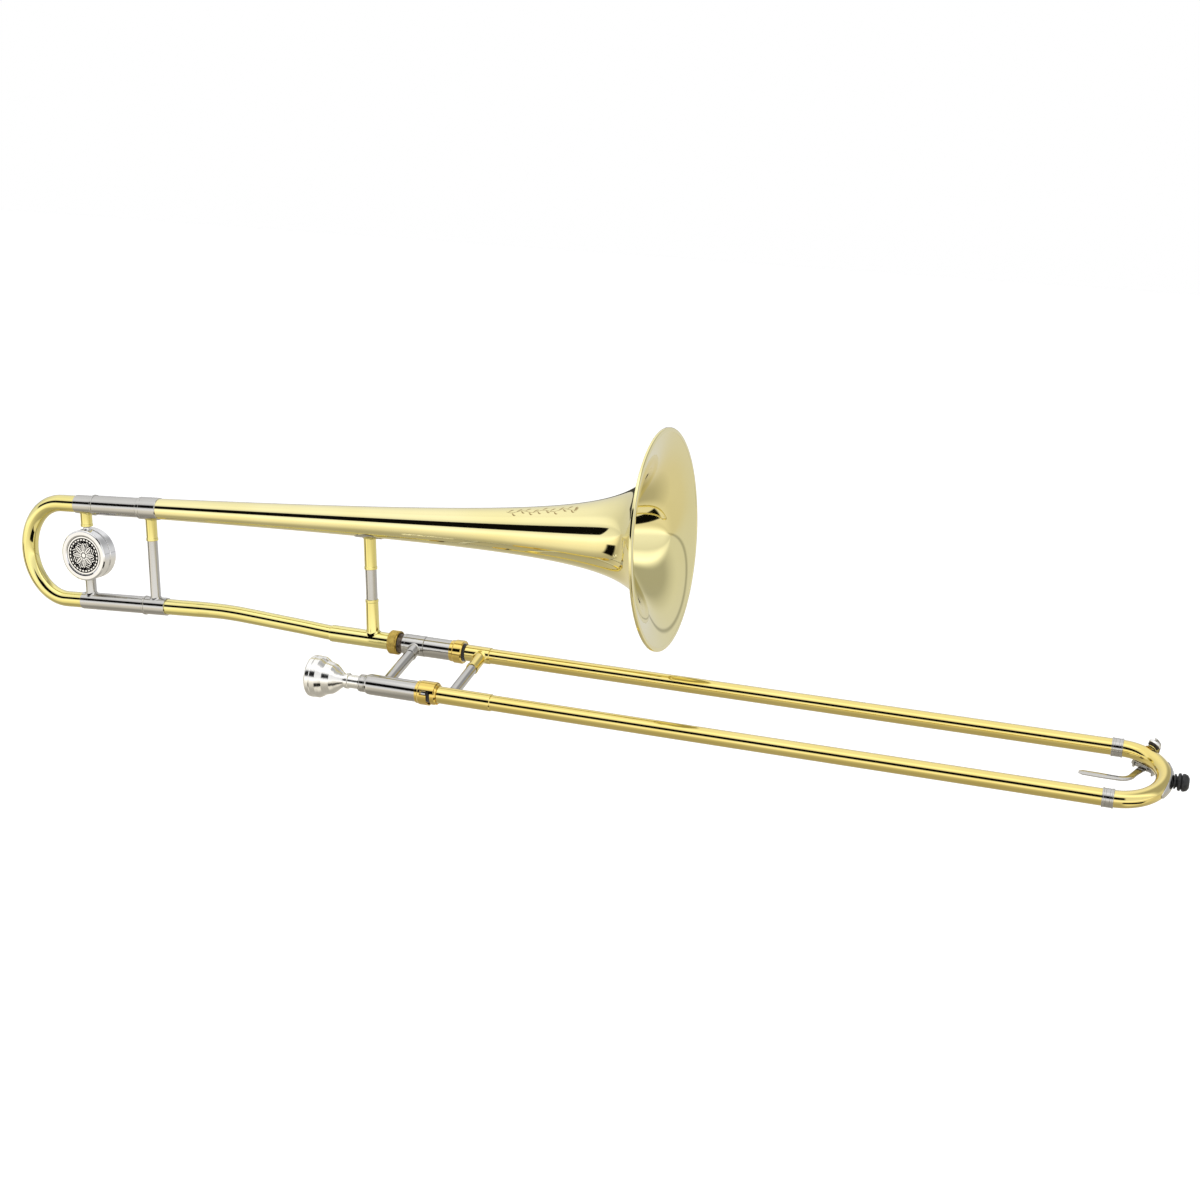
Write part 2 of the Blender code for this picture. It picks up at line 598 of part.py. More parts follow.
# ================================================================ water key
KEY_TURN = math.radians(33)          # round the crook from the bell side
NIPPLE_LEAN = math.radians(34)       # nipple axis above the slide plane
HINGE_DROP = 12.0                    # hinge line below the slide plane
key_centre = crook_pt(KEY_TURN)
key_along = (crook_pt(KEY_TURN + 0.01) - crook_pt(KEY_TURN - 0.01)).normalized()
key_radial = key_along.cross(NORMAL) * -1
nipple_dir = key_radial * math.cos(NIPPLE_LEAN) + NORMAL * math.sin(NIPPLE_LEAN)
nipple_frame = frame_matrix(key_centre, nipple_dir, key_along)
hinge_frame = frame_matrix(key_centre - NORMAL * HINGE_DROP * MM, key_along, key_radial)

# A thick copy of the crook shapes the foot of the nipple.
cut_curve = bpy.data.curves.new("cut_crook", "CURVE")
cut_curve.dimensions = "3D"
cut_spline = cut_curve.splines.new("POLY")
cut_spline.points.add(24)
for i, point in enumerate(cut_spline.points):
    point.co = (*crook_pt(math.radians(-10 + 90 * i / 24)), 1)
cut_curve.bevel_depth = (R_OUTER + GAP) * MM
cut_curve.bevel_resolution = 10
cut_curve.use_fill_caps = True
cut_source = link(bpy.data.objects.new("cut_crook_curve", cut_curve), cutter=True)
bpy.context.view_layer.update()
cut_eval = cut_source.evaluated_get(bpy.context.evaluated_depsgraph_get())
cut_mesh = bpy.data.meshes.new_from_object(cut_eval)
bpy.data.objects.remove(cut_source, do_unlink=True)
cut_bm = bmesh.new()
cut_bm.from_mesh(cut_mesh)
bmesh.ops.remove_doubles(cut_bm, verts=cut_bm.verts, dist=0.00001)
cut_bm.to_mesh(cut_mesh)
cut_bm.free()
crook_cutter = link(bpy.data.objects.new("cut_crook", cut_mesh), cutter=True)

nipple = ring("water_key_nipple",
              [(5.8, 4.6), (8.0, 3.6), (9.4, 3.3)],
              [(5.8, 1.3), (9.4, 1.3)],
              nipple_frame, "brass", SEG_SMALL)
cut(nipple, crook_cutter)
solid("water_key_cork", [(9.7, 4.6), (12.4, 4.6)], nipple_frame, "cork", SEG_SMALL)
profile_object("water_key_cup",
               [(0, 15.2), (3.4, 14.8), (5.2, 13.6), (5.4, 11.2), (4.9, 11.2), (4.9, 12.7),
                (0, 12.7)],
               False, nipple_frame, 18, "silver")

# Hinge: a saddle under the crook carries a rod, and the key's tube turns on it.
saddle_frame = frame_matrix(key_centre - NORMAL * 11.25 * MM, key_along, key_radial)
key_saddle = box("water_key_saddle", (6.4, 7.1, 21.0), saddle_frame, "nickel")
cut(key_saddle, box("cut_key_saddle", (9.0, 7.1, 17.6),
                    saddle_frame @ Matrix.Translation(Vector((0, -1.2 * MM, 0)))))
cut(key_saddle, cutter_cylinder("cut_key_rod", hinge_frame, 1.3, -14, 14, 12))
solid("water_key_rod", [(-12.2, 2.0), (-10.9, 2.0), (-10.8, 1.0), (11.6, 1.0)],
      hinge_frame, "steel", 12)
tube("water_key_hinge_tube", -8.4, 4.0, 2.3, 1.3, hinge_frame, "nickel", 12)


def key_pt(radial, up):
    """A point in the key's cross plane, measured from the crook tube's centre (mm)."""
    return key_centre + (key_radial * radial + NORMAL * up) * MM


arm_path = [key_pt(r, u) for r, u in ((2.6, -12), (7.5, -12.0), (11.6, -9.2), (14.2, -5.2),
                                      (15.6, -1.0), (16.5, 3.0), (15.4, 6.3), (11.5, 12.0))]
flat_bar("water_key_arm", arm_path, [8, 6, 4.5, 4.2, 4.2, 4.2, 4.6, 3.6], [key_along] * 8, 1.3,
         "nickel")

lever_path = [key_pt(-2.75, -12), key_pt(-5.5, -12)]
lever_path += [slide_pt(x, across, up) for x, across, up in (
    (690.4, -19.5, -11.8), (687.2, -26.0, -11.5), (681.5, -29.6, -11.2), (674.0, -30.4, -10.9),
    (662.0, -30.8, -10.4), (649.0, -31.0, -10.0), (645.5, -31.0, -10.0))]
lever_across = []
for i in range(len(lever_path)):
    step = lever_path[min(i + 1, len(lever_path) - 1)] - lever_path[max(i - 1, 0)]
    lever_across.append(NORMAL.cross(step).normalized())
flat_bar("water_key_lever", lever_path, [7.6, 7.2, 6.2, 6, 6, 6.2, 6.8, 6.6, 4.0], lever_across, 1.9,
         "nickel")

spring_curve = bpy.data.curves.new("water_key_spring", "CURVE")
spring_curve.dimensions = "3D"
spring = spring_curve.splines.new("POLY")
SPRING_TURNS = 3
SPRING_STEPS = 8
spring.points.add(SPRING_TURNS * SPRING_STEPS)
for i, point in enumerate(spring.points):
    angle = 2 * math.pi * i / SPRING_STEPS
    local = Vector((1.9 * math.cos(angle), 1.9 * math.sin(angle), 4.8 + 1.1 * i / SPRING_STEPS))
    point.co = (*(hinge_frame @ (local * MM)), 1)
spring_curve.bevel_depth = 0.35 * MM
spring_curve.bevel_resolution = 2
spring_curve.use_fill_caps = True
finish(link(bpy.data.objects.new("water_key_spring", spring_curve)), "steel")


# ================================================================ moving bodies
def carry(name, origin, members):
    """An empty on a joint's axis, which carries the pieces that move together."""
    empty = bpy.data.objects.new(name, None)
    empty.empty_display_size = 0.02
    empty.location = origin
    parts.objects.link(empty)
    for member in members:
        piece = bpy.data.objects[member]
        piece.parent = empty
        piece.matrix_parent_inverse = Matrix.Translation(-Vector(origin))


carry("tuning_slide_axis", bell_pt(BOW_S, -0.5 * BOW_SPACING), (
    "tuning_bow", "upper_bow_ferrule", "upper_inner_leg", "lower_bow_sleeve",
    "lower_inner_leg", "counterweight_upper_post", "counterweight_lower_post",
    "counterweight_drum", "counterweight_medallion"))
carry("bell_lock_nut_axis", slide_pt(-4), ("bell_lock_nut",))
carry("hand_slide_swivel_axis", slide_pt(0), (
    "hand_slide_receiver", "bell_side_barrel", "bell_side_end_ring", "bell_side_felt",
    "bell_side_inner_tube", "mouthpiece_receiver", "mouthpiece_side_barrel",
    "mouthpiece_side_felt", "mouthpiece_side_inner_tube", "leadpipe",
    "inner_brace_socket", "inner_brace_tube"))
carry("slide_lock_axis", slide_pt(60, -SLIDE_SPACING), ("slide_lock_ring",))
carry("mouthpiece_axis", slide_pt(0, -SLIDE_SPACING), ("mouthpiece",))
carry("hand_slide_axis", slide_pt(BELL_TUBE_X0), (
    "bell_side_outer_tube", "mouthpiece_side_outer_tube", "bell_side_oversleeve",
    "mouthpiece_side_oversleeve", "bell_side_crook_ferrule", "mouthpiece_side_crook_ferrule",
    "slide_crook", "outer_brace_socket", "outer_brace_tube", "slide_lock_collar",
    "crook_guard", "slide_end_bumper", "water_key_nipple", "water_key_saddle",
    "water_key_rod", "water_key_spring"))
carry("water_key_axis", key_centre - NORMAL * HINGE_DROP * MM, (
    "water_key_lever", "water_key_arm", "water_key_hinge_tube", "water_key_cup",
    "water_key_cork"))
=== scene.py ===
"""Looks of the straight tenor trombone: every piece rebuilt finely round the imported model.

Lengths are in mm in the tables below and in metres in the scene.
"""
import math

import bmesh
import bpy
from mathutils import Matrix, Vector


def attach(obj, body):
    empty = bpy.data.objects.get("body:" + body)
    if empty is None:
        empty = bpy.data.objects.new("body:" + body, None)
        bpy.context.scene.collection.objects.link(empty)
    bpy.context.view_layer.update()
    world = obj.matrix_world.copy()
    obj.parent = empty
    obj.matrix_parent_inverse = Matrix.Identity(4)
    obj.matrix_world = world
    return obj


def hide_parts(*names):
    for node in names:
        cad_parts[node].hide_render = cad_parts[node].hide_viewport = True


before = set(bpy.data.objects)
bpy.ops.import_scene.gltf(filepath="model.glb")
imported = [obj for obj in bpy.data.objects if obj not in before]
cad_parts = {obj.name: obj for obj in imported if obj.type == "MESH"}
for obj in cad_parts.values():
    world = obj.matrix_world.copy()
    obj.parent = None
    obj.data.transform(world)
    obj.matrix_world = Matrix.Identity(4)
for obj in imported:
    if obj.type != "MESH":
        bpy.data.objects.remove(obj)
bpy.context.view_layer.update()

MM = 0.001

# --- Hand slide layout (mm), as in the CAD ---
SLIDE_SPACING = 78.1
SLIDE_ROLL = 15.1
OUTER_BRACE_X = 88.0
INNER_BRACE_X = 20.5
BELL_TUBE_X0 = 71.6
MOUTH_TUBE_X0 = 72.8
TUBE_X1 = 673.6
INNER_X1 = 655.0
FERRULE_X0 = 669.0
FERRULE_X1 = 678.6
CROOK_X = 677.0
CROOK_DEPTH = 38.3
CROOK_R = 0.5 * SLIDE_SPACING
R_OUTER = 7.25
R_BARREL = 9.7
R_OVERSLEEVE = 7.9

# --- Bell section layout (mm), as in the CAD ---
BELL_TILT = 3.32
BELL_AXIS_X = 88.0
BELL_AXIS_Z = 122.5
BOW_SPACING = 99.9
BOW_S = -467.5
BOW_DEPTH = 42.0
RIM_S = 175.2
R_RIM = 101.6
REAR_BRACE_S = -363.4
FRONT_BRACE_S = -121.8
COUNTERWEIGHT_S = -439.2
TAPER_K = 319.0
TAPER_S1 = 184.2
TAPER_G = 0.506
TAPER_C = 2.83
BELL_WALL = 0.6

ROLL = math.radians(SLIDE_ROLL)
TILT = math.radians(BELL_TILT)
X_AXIS = Vector((1, 0, 0))
ACROSS = Vector((0, math.cos(ROLL), math.sin(ROLL)))
NORMAL = Vector((0, -math.sin(ROLL), math.cos(ROLL)))
BELL_DIR = Vector((math.cos(TILT), 0, math.sin(TILT)))
BELL_UP = Vector((-math.sin(TILT), 0, math.cos(TILT)))
SIDE = Vector((0, 1, 0))


def slide_pt(x, across=0.0, up=0.0):
    """A point in the slide's frame: along X, across the tubes, out of their plane (mm)."""
    return (X_AXIS * x + ACROSS * across + NORMAL * up) * MM


def bell_pt(s, up=0.0, side=0.0):
    """A point in the bell's frame: along its axis, up and sideways from it (mm)."""
    base = Vector((BELL_AXIS_X, 0, BELL_AXIS_Z))
    return (base + BELL_DIR * s + BELL_UP * up + SIDE * side) * MM


def frame_matrix(origin, z_dir, x_hint):
    """Placement with local Z along z_dir and local X near x_hint."""
    z = z_dir.normalized()
    x = (x_hint - z * x_hint.dot(z)).normalized()
    y = z.cross(x)
    return Matrix.Translation(origin) @ Matrix((x, y, z)).transposed().to_4x4()


BELL_SIDE = frame_matrix(Vector(), X_AXIS, ACROSS)
MOUTH_SIDE = frame_matrix(slide_pt(0, -SLIDE_SPACING), X_AXIS, ACROSS)
BELL_AXIS = frame_matrix(bell_pt(0), BELL_DIR, SIDE)
LOWER_LEG = frame_matrix(bell_pt(0, -BOW_SPACING), BELL_DIR, SIDE)


# ======== materials
def shader_of(name):
    mat = bpy.data.materials.new(name)
    mat.use_nodes = True
    return mat, mat.node_tree, mat.node_tree.nodes["Principled BSDF"]


def feed(tree, node, **sockets):
    """Sets or links a node's inputs by name; an underscore stands for a space."""
    for name, value in sockets.items():
        socket = node.inputs[name.replace("_", " ")]
        if isinstance(value, bpy.types.NodeSocket):
            tree.links.new(value, socket)
        else:
            socket.default_value = value


def add(tree, kind, **sockets):
    """A new shader node with its inputs set or linked."""
    node = tree.nodes.new("ShaderNode" + kind)
    feed(tree, node, **sockets)
    return node


def noise_at(tree, scale, stretch=(1, 1, 1), detail=4.0):
    """A noise pattern in the piece's own coordinates; Z runs along a turned piece."""
    mapping = add(tree, "Mapping", Vector=add(tree, "TexCoord").outputs["Object"], Scale=stretch)
    return add(tree, "TexNoise", Vector=mapping.outputs["Vector"], Scale=scale,
               Detail=detail).outputs["Fac"]


def ramp(tree, fac, stops):
    """A colour ramp with (position, colour) stops."""
    node = add(tree, "ValToRGB", Fac=fac)
    elements = node.color_ramp.elements
    while len(elements) < len(stops):
        elements.new(0.5)
    for element, (pos, colour) in zip(elements, stops):
        element.position = pos
        element.color = (*colour, 1.0)
    return node.outputs["Color"]


def map_range(tree, value, low, high, start=0.3, end=0.7, curve="LINEAR"):
    """A value from start..end taken to low..high."""
    node = add(tree, "MapRange", Value=value, From_Min=start, From_Max=end, To_Min=low,
               To_Max=high)
    node.interpolation_type = curve
    return node.outputs["Result"]


def bump(tree, shader, height, strength, distance):
    node = add(tree, "Bump", Height=height, Strength=strength, Distance=distance)
    tree.links.new(node.outputs["Normal"], shader.inputs["Normal"])


def polished(name, light, dark, rough, coat=0.0, marks=(30, 30, 900), strength=0.03):
    """A polished metal: slight tone drift, uneven gloss and fine polishing marks."""
    mat, tree, shader = shader_of(name)
    drift = noise_at(tree, 9.0, detail=3.0)
    haze = noise_at(tree, 60.0, detail=5.0)
    feed(tree, shader, Base_Color=ramp(tree, drift, [(0.35, dark), (0.65, light)]),
         Metallic=1.0, Roughness=map_range(tree, haze, *rough),
         Coat_Weight=coat, Coat_Roughness=0.03)
    bump(tree, shader, noise_at(tree, 1.0, marks, detail=2.0), strength, 0.00002)
    return mat


BRASS_LIGHT = (0.87, 0.72, 0.26)
BRASS_DARK = (0.82, 0.66, 0.20)
# PALE and BELL are paler copies of the one lacquered brass: a painted highlight tone that whitens
# the reflections on the bell section's parts
PALE_LIGHT = (0.86, 0.77, 0.31)
PALE_DARK = (0.81, 0.71, 0.25)
BELL_LIGHT = (0.91, 0.83, 0.44)
BELL_DARK = (0.87, 0.78, 0.37)
GOLD_LIGHT = (0.84, 0.63, 0.17)
GOLD_DARK = (0.76, 0.54, 0.12)
NICKEL_LIGHT = (0.58, 0.57, 0.55)
NICKEL_DARK = (0.52, 0.51, 0.49)
MATERIALS = {
    "brass": polished("lacquered_brass", BRASS_LIGHT, BRASS_DARK, (0.035, 0.075), coat=0.6),
    # painted highlight tone: the next two are paler copies of the lacquered brass above, not other
    # alloys
    "brass_painted_paler": polished("brass_copy_painted_paler", PALE_LIGHT, PALE_DARK, (0.035, 0.075),
                           coat=0.6),
    "bell": polished("bell_brass_copy_painted_paler", BELL_LIGHT, BELL_DARK, (0.03, 0.06), coat=0.6,
                     marks=(60, 60, 300), strength=0.02),
    "gold": polished("deep_gold_brass", GOLD_LIGHT, GOLD_DARK, (0.05, 0.09), coat=0.6),
    "nickel": polished("nickel_silver", NICKEL_LIGHT, NICKEL_DARK, (0.07, 0.14)),
    "chrome": polished("hard_chrome", (0.84, 0.84, 0.85), (0.78, 0.78, 0.80), (0.03, 0.07)),
    "silver": polished("silver_plate", (0.92, 0.91, 0.885), (0.86, 0.85, 0.82), (0.12, 0.20)),
    "engraved": polished("engraved_brass", (0.46, 0.34, 0.15), (0.36, 0.26, 0.11), (0.35, 0.5)),
    # painted shade: a darkened steel for the receiver thread, which lies in shadow inside the nut
    "painted_shade_steel": polished("thread_painted_shade", (0.30, 0.25, 0.21), (0.15, 0.12, 0.10), (0.22, 0.36)),
    "steel": polished("turned_steel", (0.60, 0.60, 0.62), (0.48, 0.48, 0.50), (0.16, 0.30),
                      marks=(40, 40, 1500), strength=0.15),
}


def soft_material(name, light, dark, rough, grain, strength, sheen=0.0):
    """A matt material with a visible grain."""
    mat, tree, shader = shader_of(name)
    fine = noise_at(tree, grain, detail=6.0)
    feed(tree, shader, Base_Color=ramp(tree, fine, [(0.35, dark), (0.68, light)]),
         Roughness=map_range(tree, fine, *rough), Sheen_Weight=sheen)
    bump(tree, shader, fine, strength, 0.0002)
    return mat


MATERIALS["rubber"] = soft_material("bumper_rubber", (0.022, 0.022, 0.023),
                                    (0.010, 0.010, 0.011), (0.38, 0.55), 900.0, 0.12)
MATERIALS["felt"] = soft_material("barrel_felt", (0.045, 0.040, 0.040), (0.012, 0.011, 0.011),
                                  (0.85, 1.0), 2500.0, 0.8, sheen=0.5)
MATERIALS["cork"] = soft_material("key_cork", (0.060, 0.048, 0.036), (0.010, 0.008, 0.007),
                                  (0.75, 0.95), 1400.0, 0.6)


def relief_material():
    """Silver relief with blackened hollows: the height of the surface sets the tone."""
    mat, tree, shader = shader_of("blackened_relief")
    split = add(tree, "SeparateXYZ", Vector=add(tree, "TexCoord").outputs["Object"])
    height = map_range(tree, split.outputs["Z"], 0.0, 1.0, RELIEF_LOW * MM, RELIEF_HIGH * MM)
    tones = [(0.45, (0.006, 0.006, 0.007)), (0.60, (0.86, 0.86, 0.87))]
    feed(tree, shader, Base_Color=ramp(tree, height, tones), Metallic=1.0,
         Roughness=map_range(tree, height, 0.55, 0.14, 0.3, 0.42))
    bump(tree, shader, noise_at(tree, 1800.0, detail=3.0), 0.10, 0.00005)
    return mat


# ======== builders
def link(obj):
    bpy.context.scene.collection.objects.link(obj)


def circle(count):
    """The angles of evenly spaced points round a circle."""
    return [2 * math.pi * k / count for k in range(count)]


def skin(bm, rings, closed=False, capped=False):
    """Faces between neighbouring rings; closed joins last to first, capped fills both ends."""
    for low, high in zip(rings, rings[1:] + (rings[:1] if closed else [])):
        for k in range(len(low)):
            j = (k + 1) % len(low)
            bm.faces.new((low[k], low[j], high[j], high[k]))
    if capped:
        bm.faces.new(rings[0][::-1])
        bm.faces.new(rings[-1])


def new_piece(name, bm, placement, mat, body, node=None, sharp=40.0):
    """Makes a piece from a bmesh in millimetres, in its placement's own frame."""
    bmesh.ops.recalc_face_normals(bm, faces=bm.faces)
    mesh = bpy.data.meshes.new(name)
    bm.to_mesh(mesh)
    bm.free()
    mesh.transform(Matrix.Scale(MM, 4))
    mesh.shade_smooth()
    mesh.set_sharp_from_angle(angle=math.radians(sharp))
    obj = bpy.data.objects.new(name, mesh)
    obj.matrix_world = placement
    link(obj)
    mesh.materials.append(MATERIALS[mat] if isinstance(mat, str) else mat)
    if body:
        bpy.context.view_layer.update()
        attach(obj, body)
    if node:
        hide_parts(node)
    return obj


def rounded(points, closed=True, steps=3, hold=0.10):
    """Rounds a section's corners. Points are (station, radius) or (station, radius, fillet)."""
    pts = [(Vector(p[:2]), p[2] if len(p) > 2 else 0.0) for p in points]
    out = []
    for i, (p, fillet) in enumerate(pts):
        ends = not closed and i in (0, len(pts) - 1)
        if ends or fillet <= 0:
            out.append(p)
            continue
        a = pts[i - 1][0] - p
        b = pts[(i + 1) % len(pts)][0] - p
        la, lb = a.length, b.length
        a.normalize()
        b.normalize()
        half = 0.5 * a.angle(b)
        if half > 0.5 * math.pi - 0.03:
            out.append(p)
            continue
        t = min(fillet / math.tan(half), 0.42 * la, 0.42 * lb)
        radius = t * math.tan(half)
        centre = p + (a + b).normalized() * (radius / math.sin(half))
        v0 = p + a * t - centre
        v1 = p + b * t - centre
        a0 = math.atan2(v0.y, v0.x)
        turn = math.atan2(v1.y, v1.x) - a0
        turn = (turn + math.pi) % (2 * math.pi) - math.pi
        out.append(p + a * min(t + hold, 0.47 * la))
        for k in range(steps + 1):
            angle = a0 + turn * k / steps
            out.append(centre + Vector((math.cos(angle), math.sin(angle))) * radius)
        out.append(p + b * min(t + hold, 0.47 * lb))
    return [(p.x, p.y) for p in out]


def revolve(section, closed, segments, radius_at=None):
    """A turned body about local Z. radius_at(station, radius, angle) may vary the radius."""
    bm = bmesh.new()
    rings = []
    for s, r in section:
        if r < 1e-5:
            rings.append([bm.verts.new((0, 0, s))])
            continue
        loop = []
        for angle in circle(segments):
            rr = radius_at(s, r, angle) if radius_at else r
            loop.append(bm.verts.new((rr * math.cos(angle), rr * math.sin(angle), s)))
        rings.append(loop)
    pairs = list(zip(rings, rings[1:]))
    if closed:
        pairs.append((rings[-1], rings[0]))
    for low, high in pairs:
        for k in range(segments):
            j = (k + 1) % segments
            if len(low) == 1 and len(high) == 1:
                continue
            if len(low) == 1:
                bm.faces.new((low[0], high[j], high[k]))
            elif len(high) == 1:
                bm.faces.new((low[k], low[j], high[0]))
            else:
                bm.faces.new((low[k], low[j], high[j], high[k]))
    return bm


def turned(name, outer, inner, placement, mat, body, node=None, segments=72, radius_at=None):
    """A hollow turned piece: outer and inner are (station, radius, fillet) rear to front."""
    section = rounded(list(outer) + list(reversed(inner)))
    bm = revolve(section, True, segments, radius_at)
    return new_piece(name, bm, placement, mat, body, node)


def turned_solid(name, outer, placement, mat, body, node=None, segments=72):
    """A solid turned piece: outer is (station, radius, fillet) rear to front."""
    points = [(outer[0][0], 0.0)] + list(outer) + [(outer[-1][0], 0.0)]
    bm = revolve(rounded(points, closed=False), False, segments)
    return new_piece(name, bm, placement, mat, body, node)


def smooth_path(points, per):
    """A smooth path through the points, with per steps between neighbours."""
    out = []
    n = len(points)
    for i in range(n - 1):
        p0 = points[max(i - 1, 0)]
        p1, p2 = points[i], points[i + 1]
        p3 = points[min(i + 2, n - 1)]
        chord = (p2 - p1).length
        m1 = (p2 - p0).normalized() * chord if i else (p2 - p1)
        m2 = (p3 - p1).normalized() * chord if i < n - 2 else (p2 - p1)
        for k in range(per):
            t = k / per
            h = (2 * t ** 3 - 3 * t ** 2 + 1, t ** 3 - 2 * t ** 2 + t,
                 -2 * t ** 3 + 3 * t ** 2, t ** 3 - t ** 2)
            out.append(p1 * h[0] + m1 * h[1] + p2 * h[2] + m2 * h[3])
    out.append(points[-1])
    return out


def path_frames(path, normal):
    """Two cross directions at each point, carried along without twist."""
    frames = []
    side = normal
    for i in range(len(path)):
        tangent = (path[min(i + 1, len(path) - 1)] - path[max(i - 1, 0)]).normalized()
        side = (side - tangent * side.dot(tangent)).normalized()
        frames.append((side, tangent.cross(side)))
    return frames


def sweep(name, path, radii, wall, mat, body, node=None, segments=56, normal=NORMAL):
    """A bent tube with a wall, along a path in metres, with outer radii in mm."""
    bm = bmesh.new()
    frames = path_frames(path, normal)
    skins = []
    for inward in (0.0, wall):
        rings = []
        for point, radius, (u, v) in zip(path, radii, frames):
            rr = radius - inward
            rings.append([bm.verts.new(point / MM + (u * math.cos(a) + v * math.sin(a)) * rr)
                          for a in circle(segments)])
        skins.append(rings)
    outer, inner = skins
    skin(bm, outer + inner[::-1], closed=True)
    return new_piece(name, bm, Matrix(), mat, body, node)


FOOT_STEPS = 6
FOOT_RISE = 1.3
FOOT_BITE = 0.05


def foot_rows(foot, radius, sign):
    """Rows of a strut's foot from its tube outwards, spread by a soft soldered fillet."""
    tube_r, centre, flare = foot
    rows = []
    for k in range(FOOT_STEPS + 1):
        t = k / FOOT_STEPS
        rows.append((radius + flare * (1 - t) ** 2, flare * FOOT_RISE * t, sign, tube_r, centre))
    return rows


def strut(name, placement, rows, mat, body, node=None, foot0=None, foot1=None, segments=56):
    """A round strut along local Z; a foot follows a tube that runs along local X.

    rows are (height, radius, fillet) of the outside. A foot is (tube radius, centre height,
    flare): the end ring lies on the tube.
    """
    section = rounded(rows, closed=False)
    profile = []
    if foot0:
        profile += foot_rows(foot0, section[0][1], 1)
    profile += [(r, z, 0, 0, 0) for z, r in section[1 if foot0 else 0:-1 if foot1 else None]]
    if foot1:
        profile += reversed(foot_rows(foot1, section[-1][1], -1))
    bm = bmesh.new()
    rings = []
    for r, z, sign, tube_r, centre in profile:
        loop = []
        for angle in circle(segments):
            x, y = r * math.cos(angle), r * math.sin(angle)
            height = z
            if sign:
                on_tube = math.sqrt(max(tube_r ** 2 - y * y, 0.0)) - FOOT_BITE
                height = centre + sign * (on_tube + z)
            loop.append(bm.verts.new((x, y, height)))
        rings.append(loop)
    skin(bm, rings, capped=True)
    return new_piece(name, bm, placement, mat, body, node)


def carve(obj, cutter_bm, placement):
    """Cuts a shape in millimetres out of a piece, for good."""
    bmesh.ops.recalc_face_normals(cutter_bm, faces=cutter_bm.faces)
    mesh = bpy.data.meshes.new("cutter")
    cutter_bm.to_mesh(mesh)
    cutter_bm.free()
    mesh.transform(Matrix.Scale(MM, 4))
    tool = bpy.data.objects.new("cutter", mesh)
    tool.matrix_world = placement
    link(tool)
    mod = obj.modifiers.new("cut", "BOOLEAN")
    mod.operation = "DIFFERENCE"
    mod.solver = "EXACT"
    mod.object = tool
    bpy.context.view_layer.update()
    done = bpy.data.meshes.new_from_object(obj.evaluated_get(
        bpy.context.evaluated_depsgraph_get()))
    obj.modifiers.remove(mod)
    bpy.data.objects.remove(tool, do_unlink=True)
    obj.data = done
    done.shade_smooth()
    done.set_sharp_from_angle(angle=math.radians(30))


def block(size, centre=(0, 0, 0)):
    """A box in millimetres, for cutting with or cutting from."""
    bm = bmesh.new()
    bmesh.ops.create_cube(bm, size=1.0,
                          matrix=Matrix.Translation(centre) @ Matrix.Diagonal((*size, 1)))
    return bm


# ======== bell section
def bell_radius(s):
    """Outer radius of the bell at a station of its axis (mm)."""
    return TAPER_K * (TAPER_S1 - s) ** -TAPER_G - TAPER_C


def bell_slope(s):
    return TAPER_K * TAPER_G * (TAPER_S1 - s) ** (-TAPER_G - 1)


def bell_inner(s):
    """The inner wall's point across from a station of the outer wall."""
    scale = BELL_WALL / math.hypot(1, bell_slope(s))
    return s + bell_slope(s) * scale, bell_radius(s) - scale


BELL_STEPS = 120
BELL_S0, BELL_S1 = -374.5, 174.4
far, near = TAPER_S1 - BELL_S0, TAPER_S1 - BELL_S1
bell_stations = [TAPER_S1 - far * (near / far) ** (k / BELL_STEPS) for k in range(BELL_STEPS + 1)]
bell_section = [(s, bell_radius(s)) for s in bell_stations]
bell_section += [bell_inner(s) for s in reversed(bell_stations)]
new_piece("bell", revolve(bell_section, True, 160), BELL_AXIS, "bell", "bell_section",
          "bell_flare")

turned("bell_rim", [(RIM_S - 3.0, R_RIM - 1.1, 0.3), (RIM_S - 2.6, R_RIM, 1.2),
                    (RIM_S, R_RIM, 1.3)],
       [(RIM_S - 1.2, R_RIM - 4.0, 0.2), (RIM_S, R_RIM - 4.4, 0.6)],
       BELL_AXIS, "bell", "bell_section", "bell_rim_bead", segments=160)

# ---- engraved leaf scroll along the bell, just off the top towards the player's side
SCROLL_S0, SCROLL_S1 = 24.0, 92.0
SCROLL_ANGLE = math.radians(27)
INLAY = 0.04
scroll_bm = bmesh.new()


def ribbon(points, widths):
    """A thin inlaid line on the bell through (station, arc) points in mm."""
    rings = []
    for i, (s, v) in enumerate(points):
        a = points[max(i - 1, 0)]
        b = points[min(i + 1, len(points) - 1)]
        length = math.hypot(b[0] - a[0], b[1] - a[1])
        ds, dv = (b[0] - a[0]) / length, (b[1] - a[1]) / length
        loop = []
        for side, lift in ((-1, -INLAY), (1, -INLAY), (1, INLAY), (-1, INLAY)):
            ss = s - dv * side * 0.5 * widths[i]
            vv = v + ds * side * 0.5 * widths[i]
            r = bell_radius(ss) + lift
            angle = SCROLL_ANGLE + vv / r
            loop.append(scroll_bm.verts.new((-r * math.sin(angle), r * math.cos(angle), ss)))
        rings.append(loop)
    skin(scroll_bm, rings, capped=True)


def stem_at(s):
    """How far the waving stem lies off the scroll's middle line."""
    return 1.5 * math.sin((s - SCROLL_S0) * 0.30)


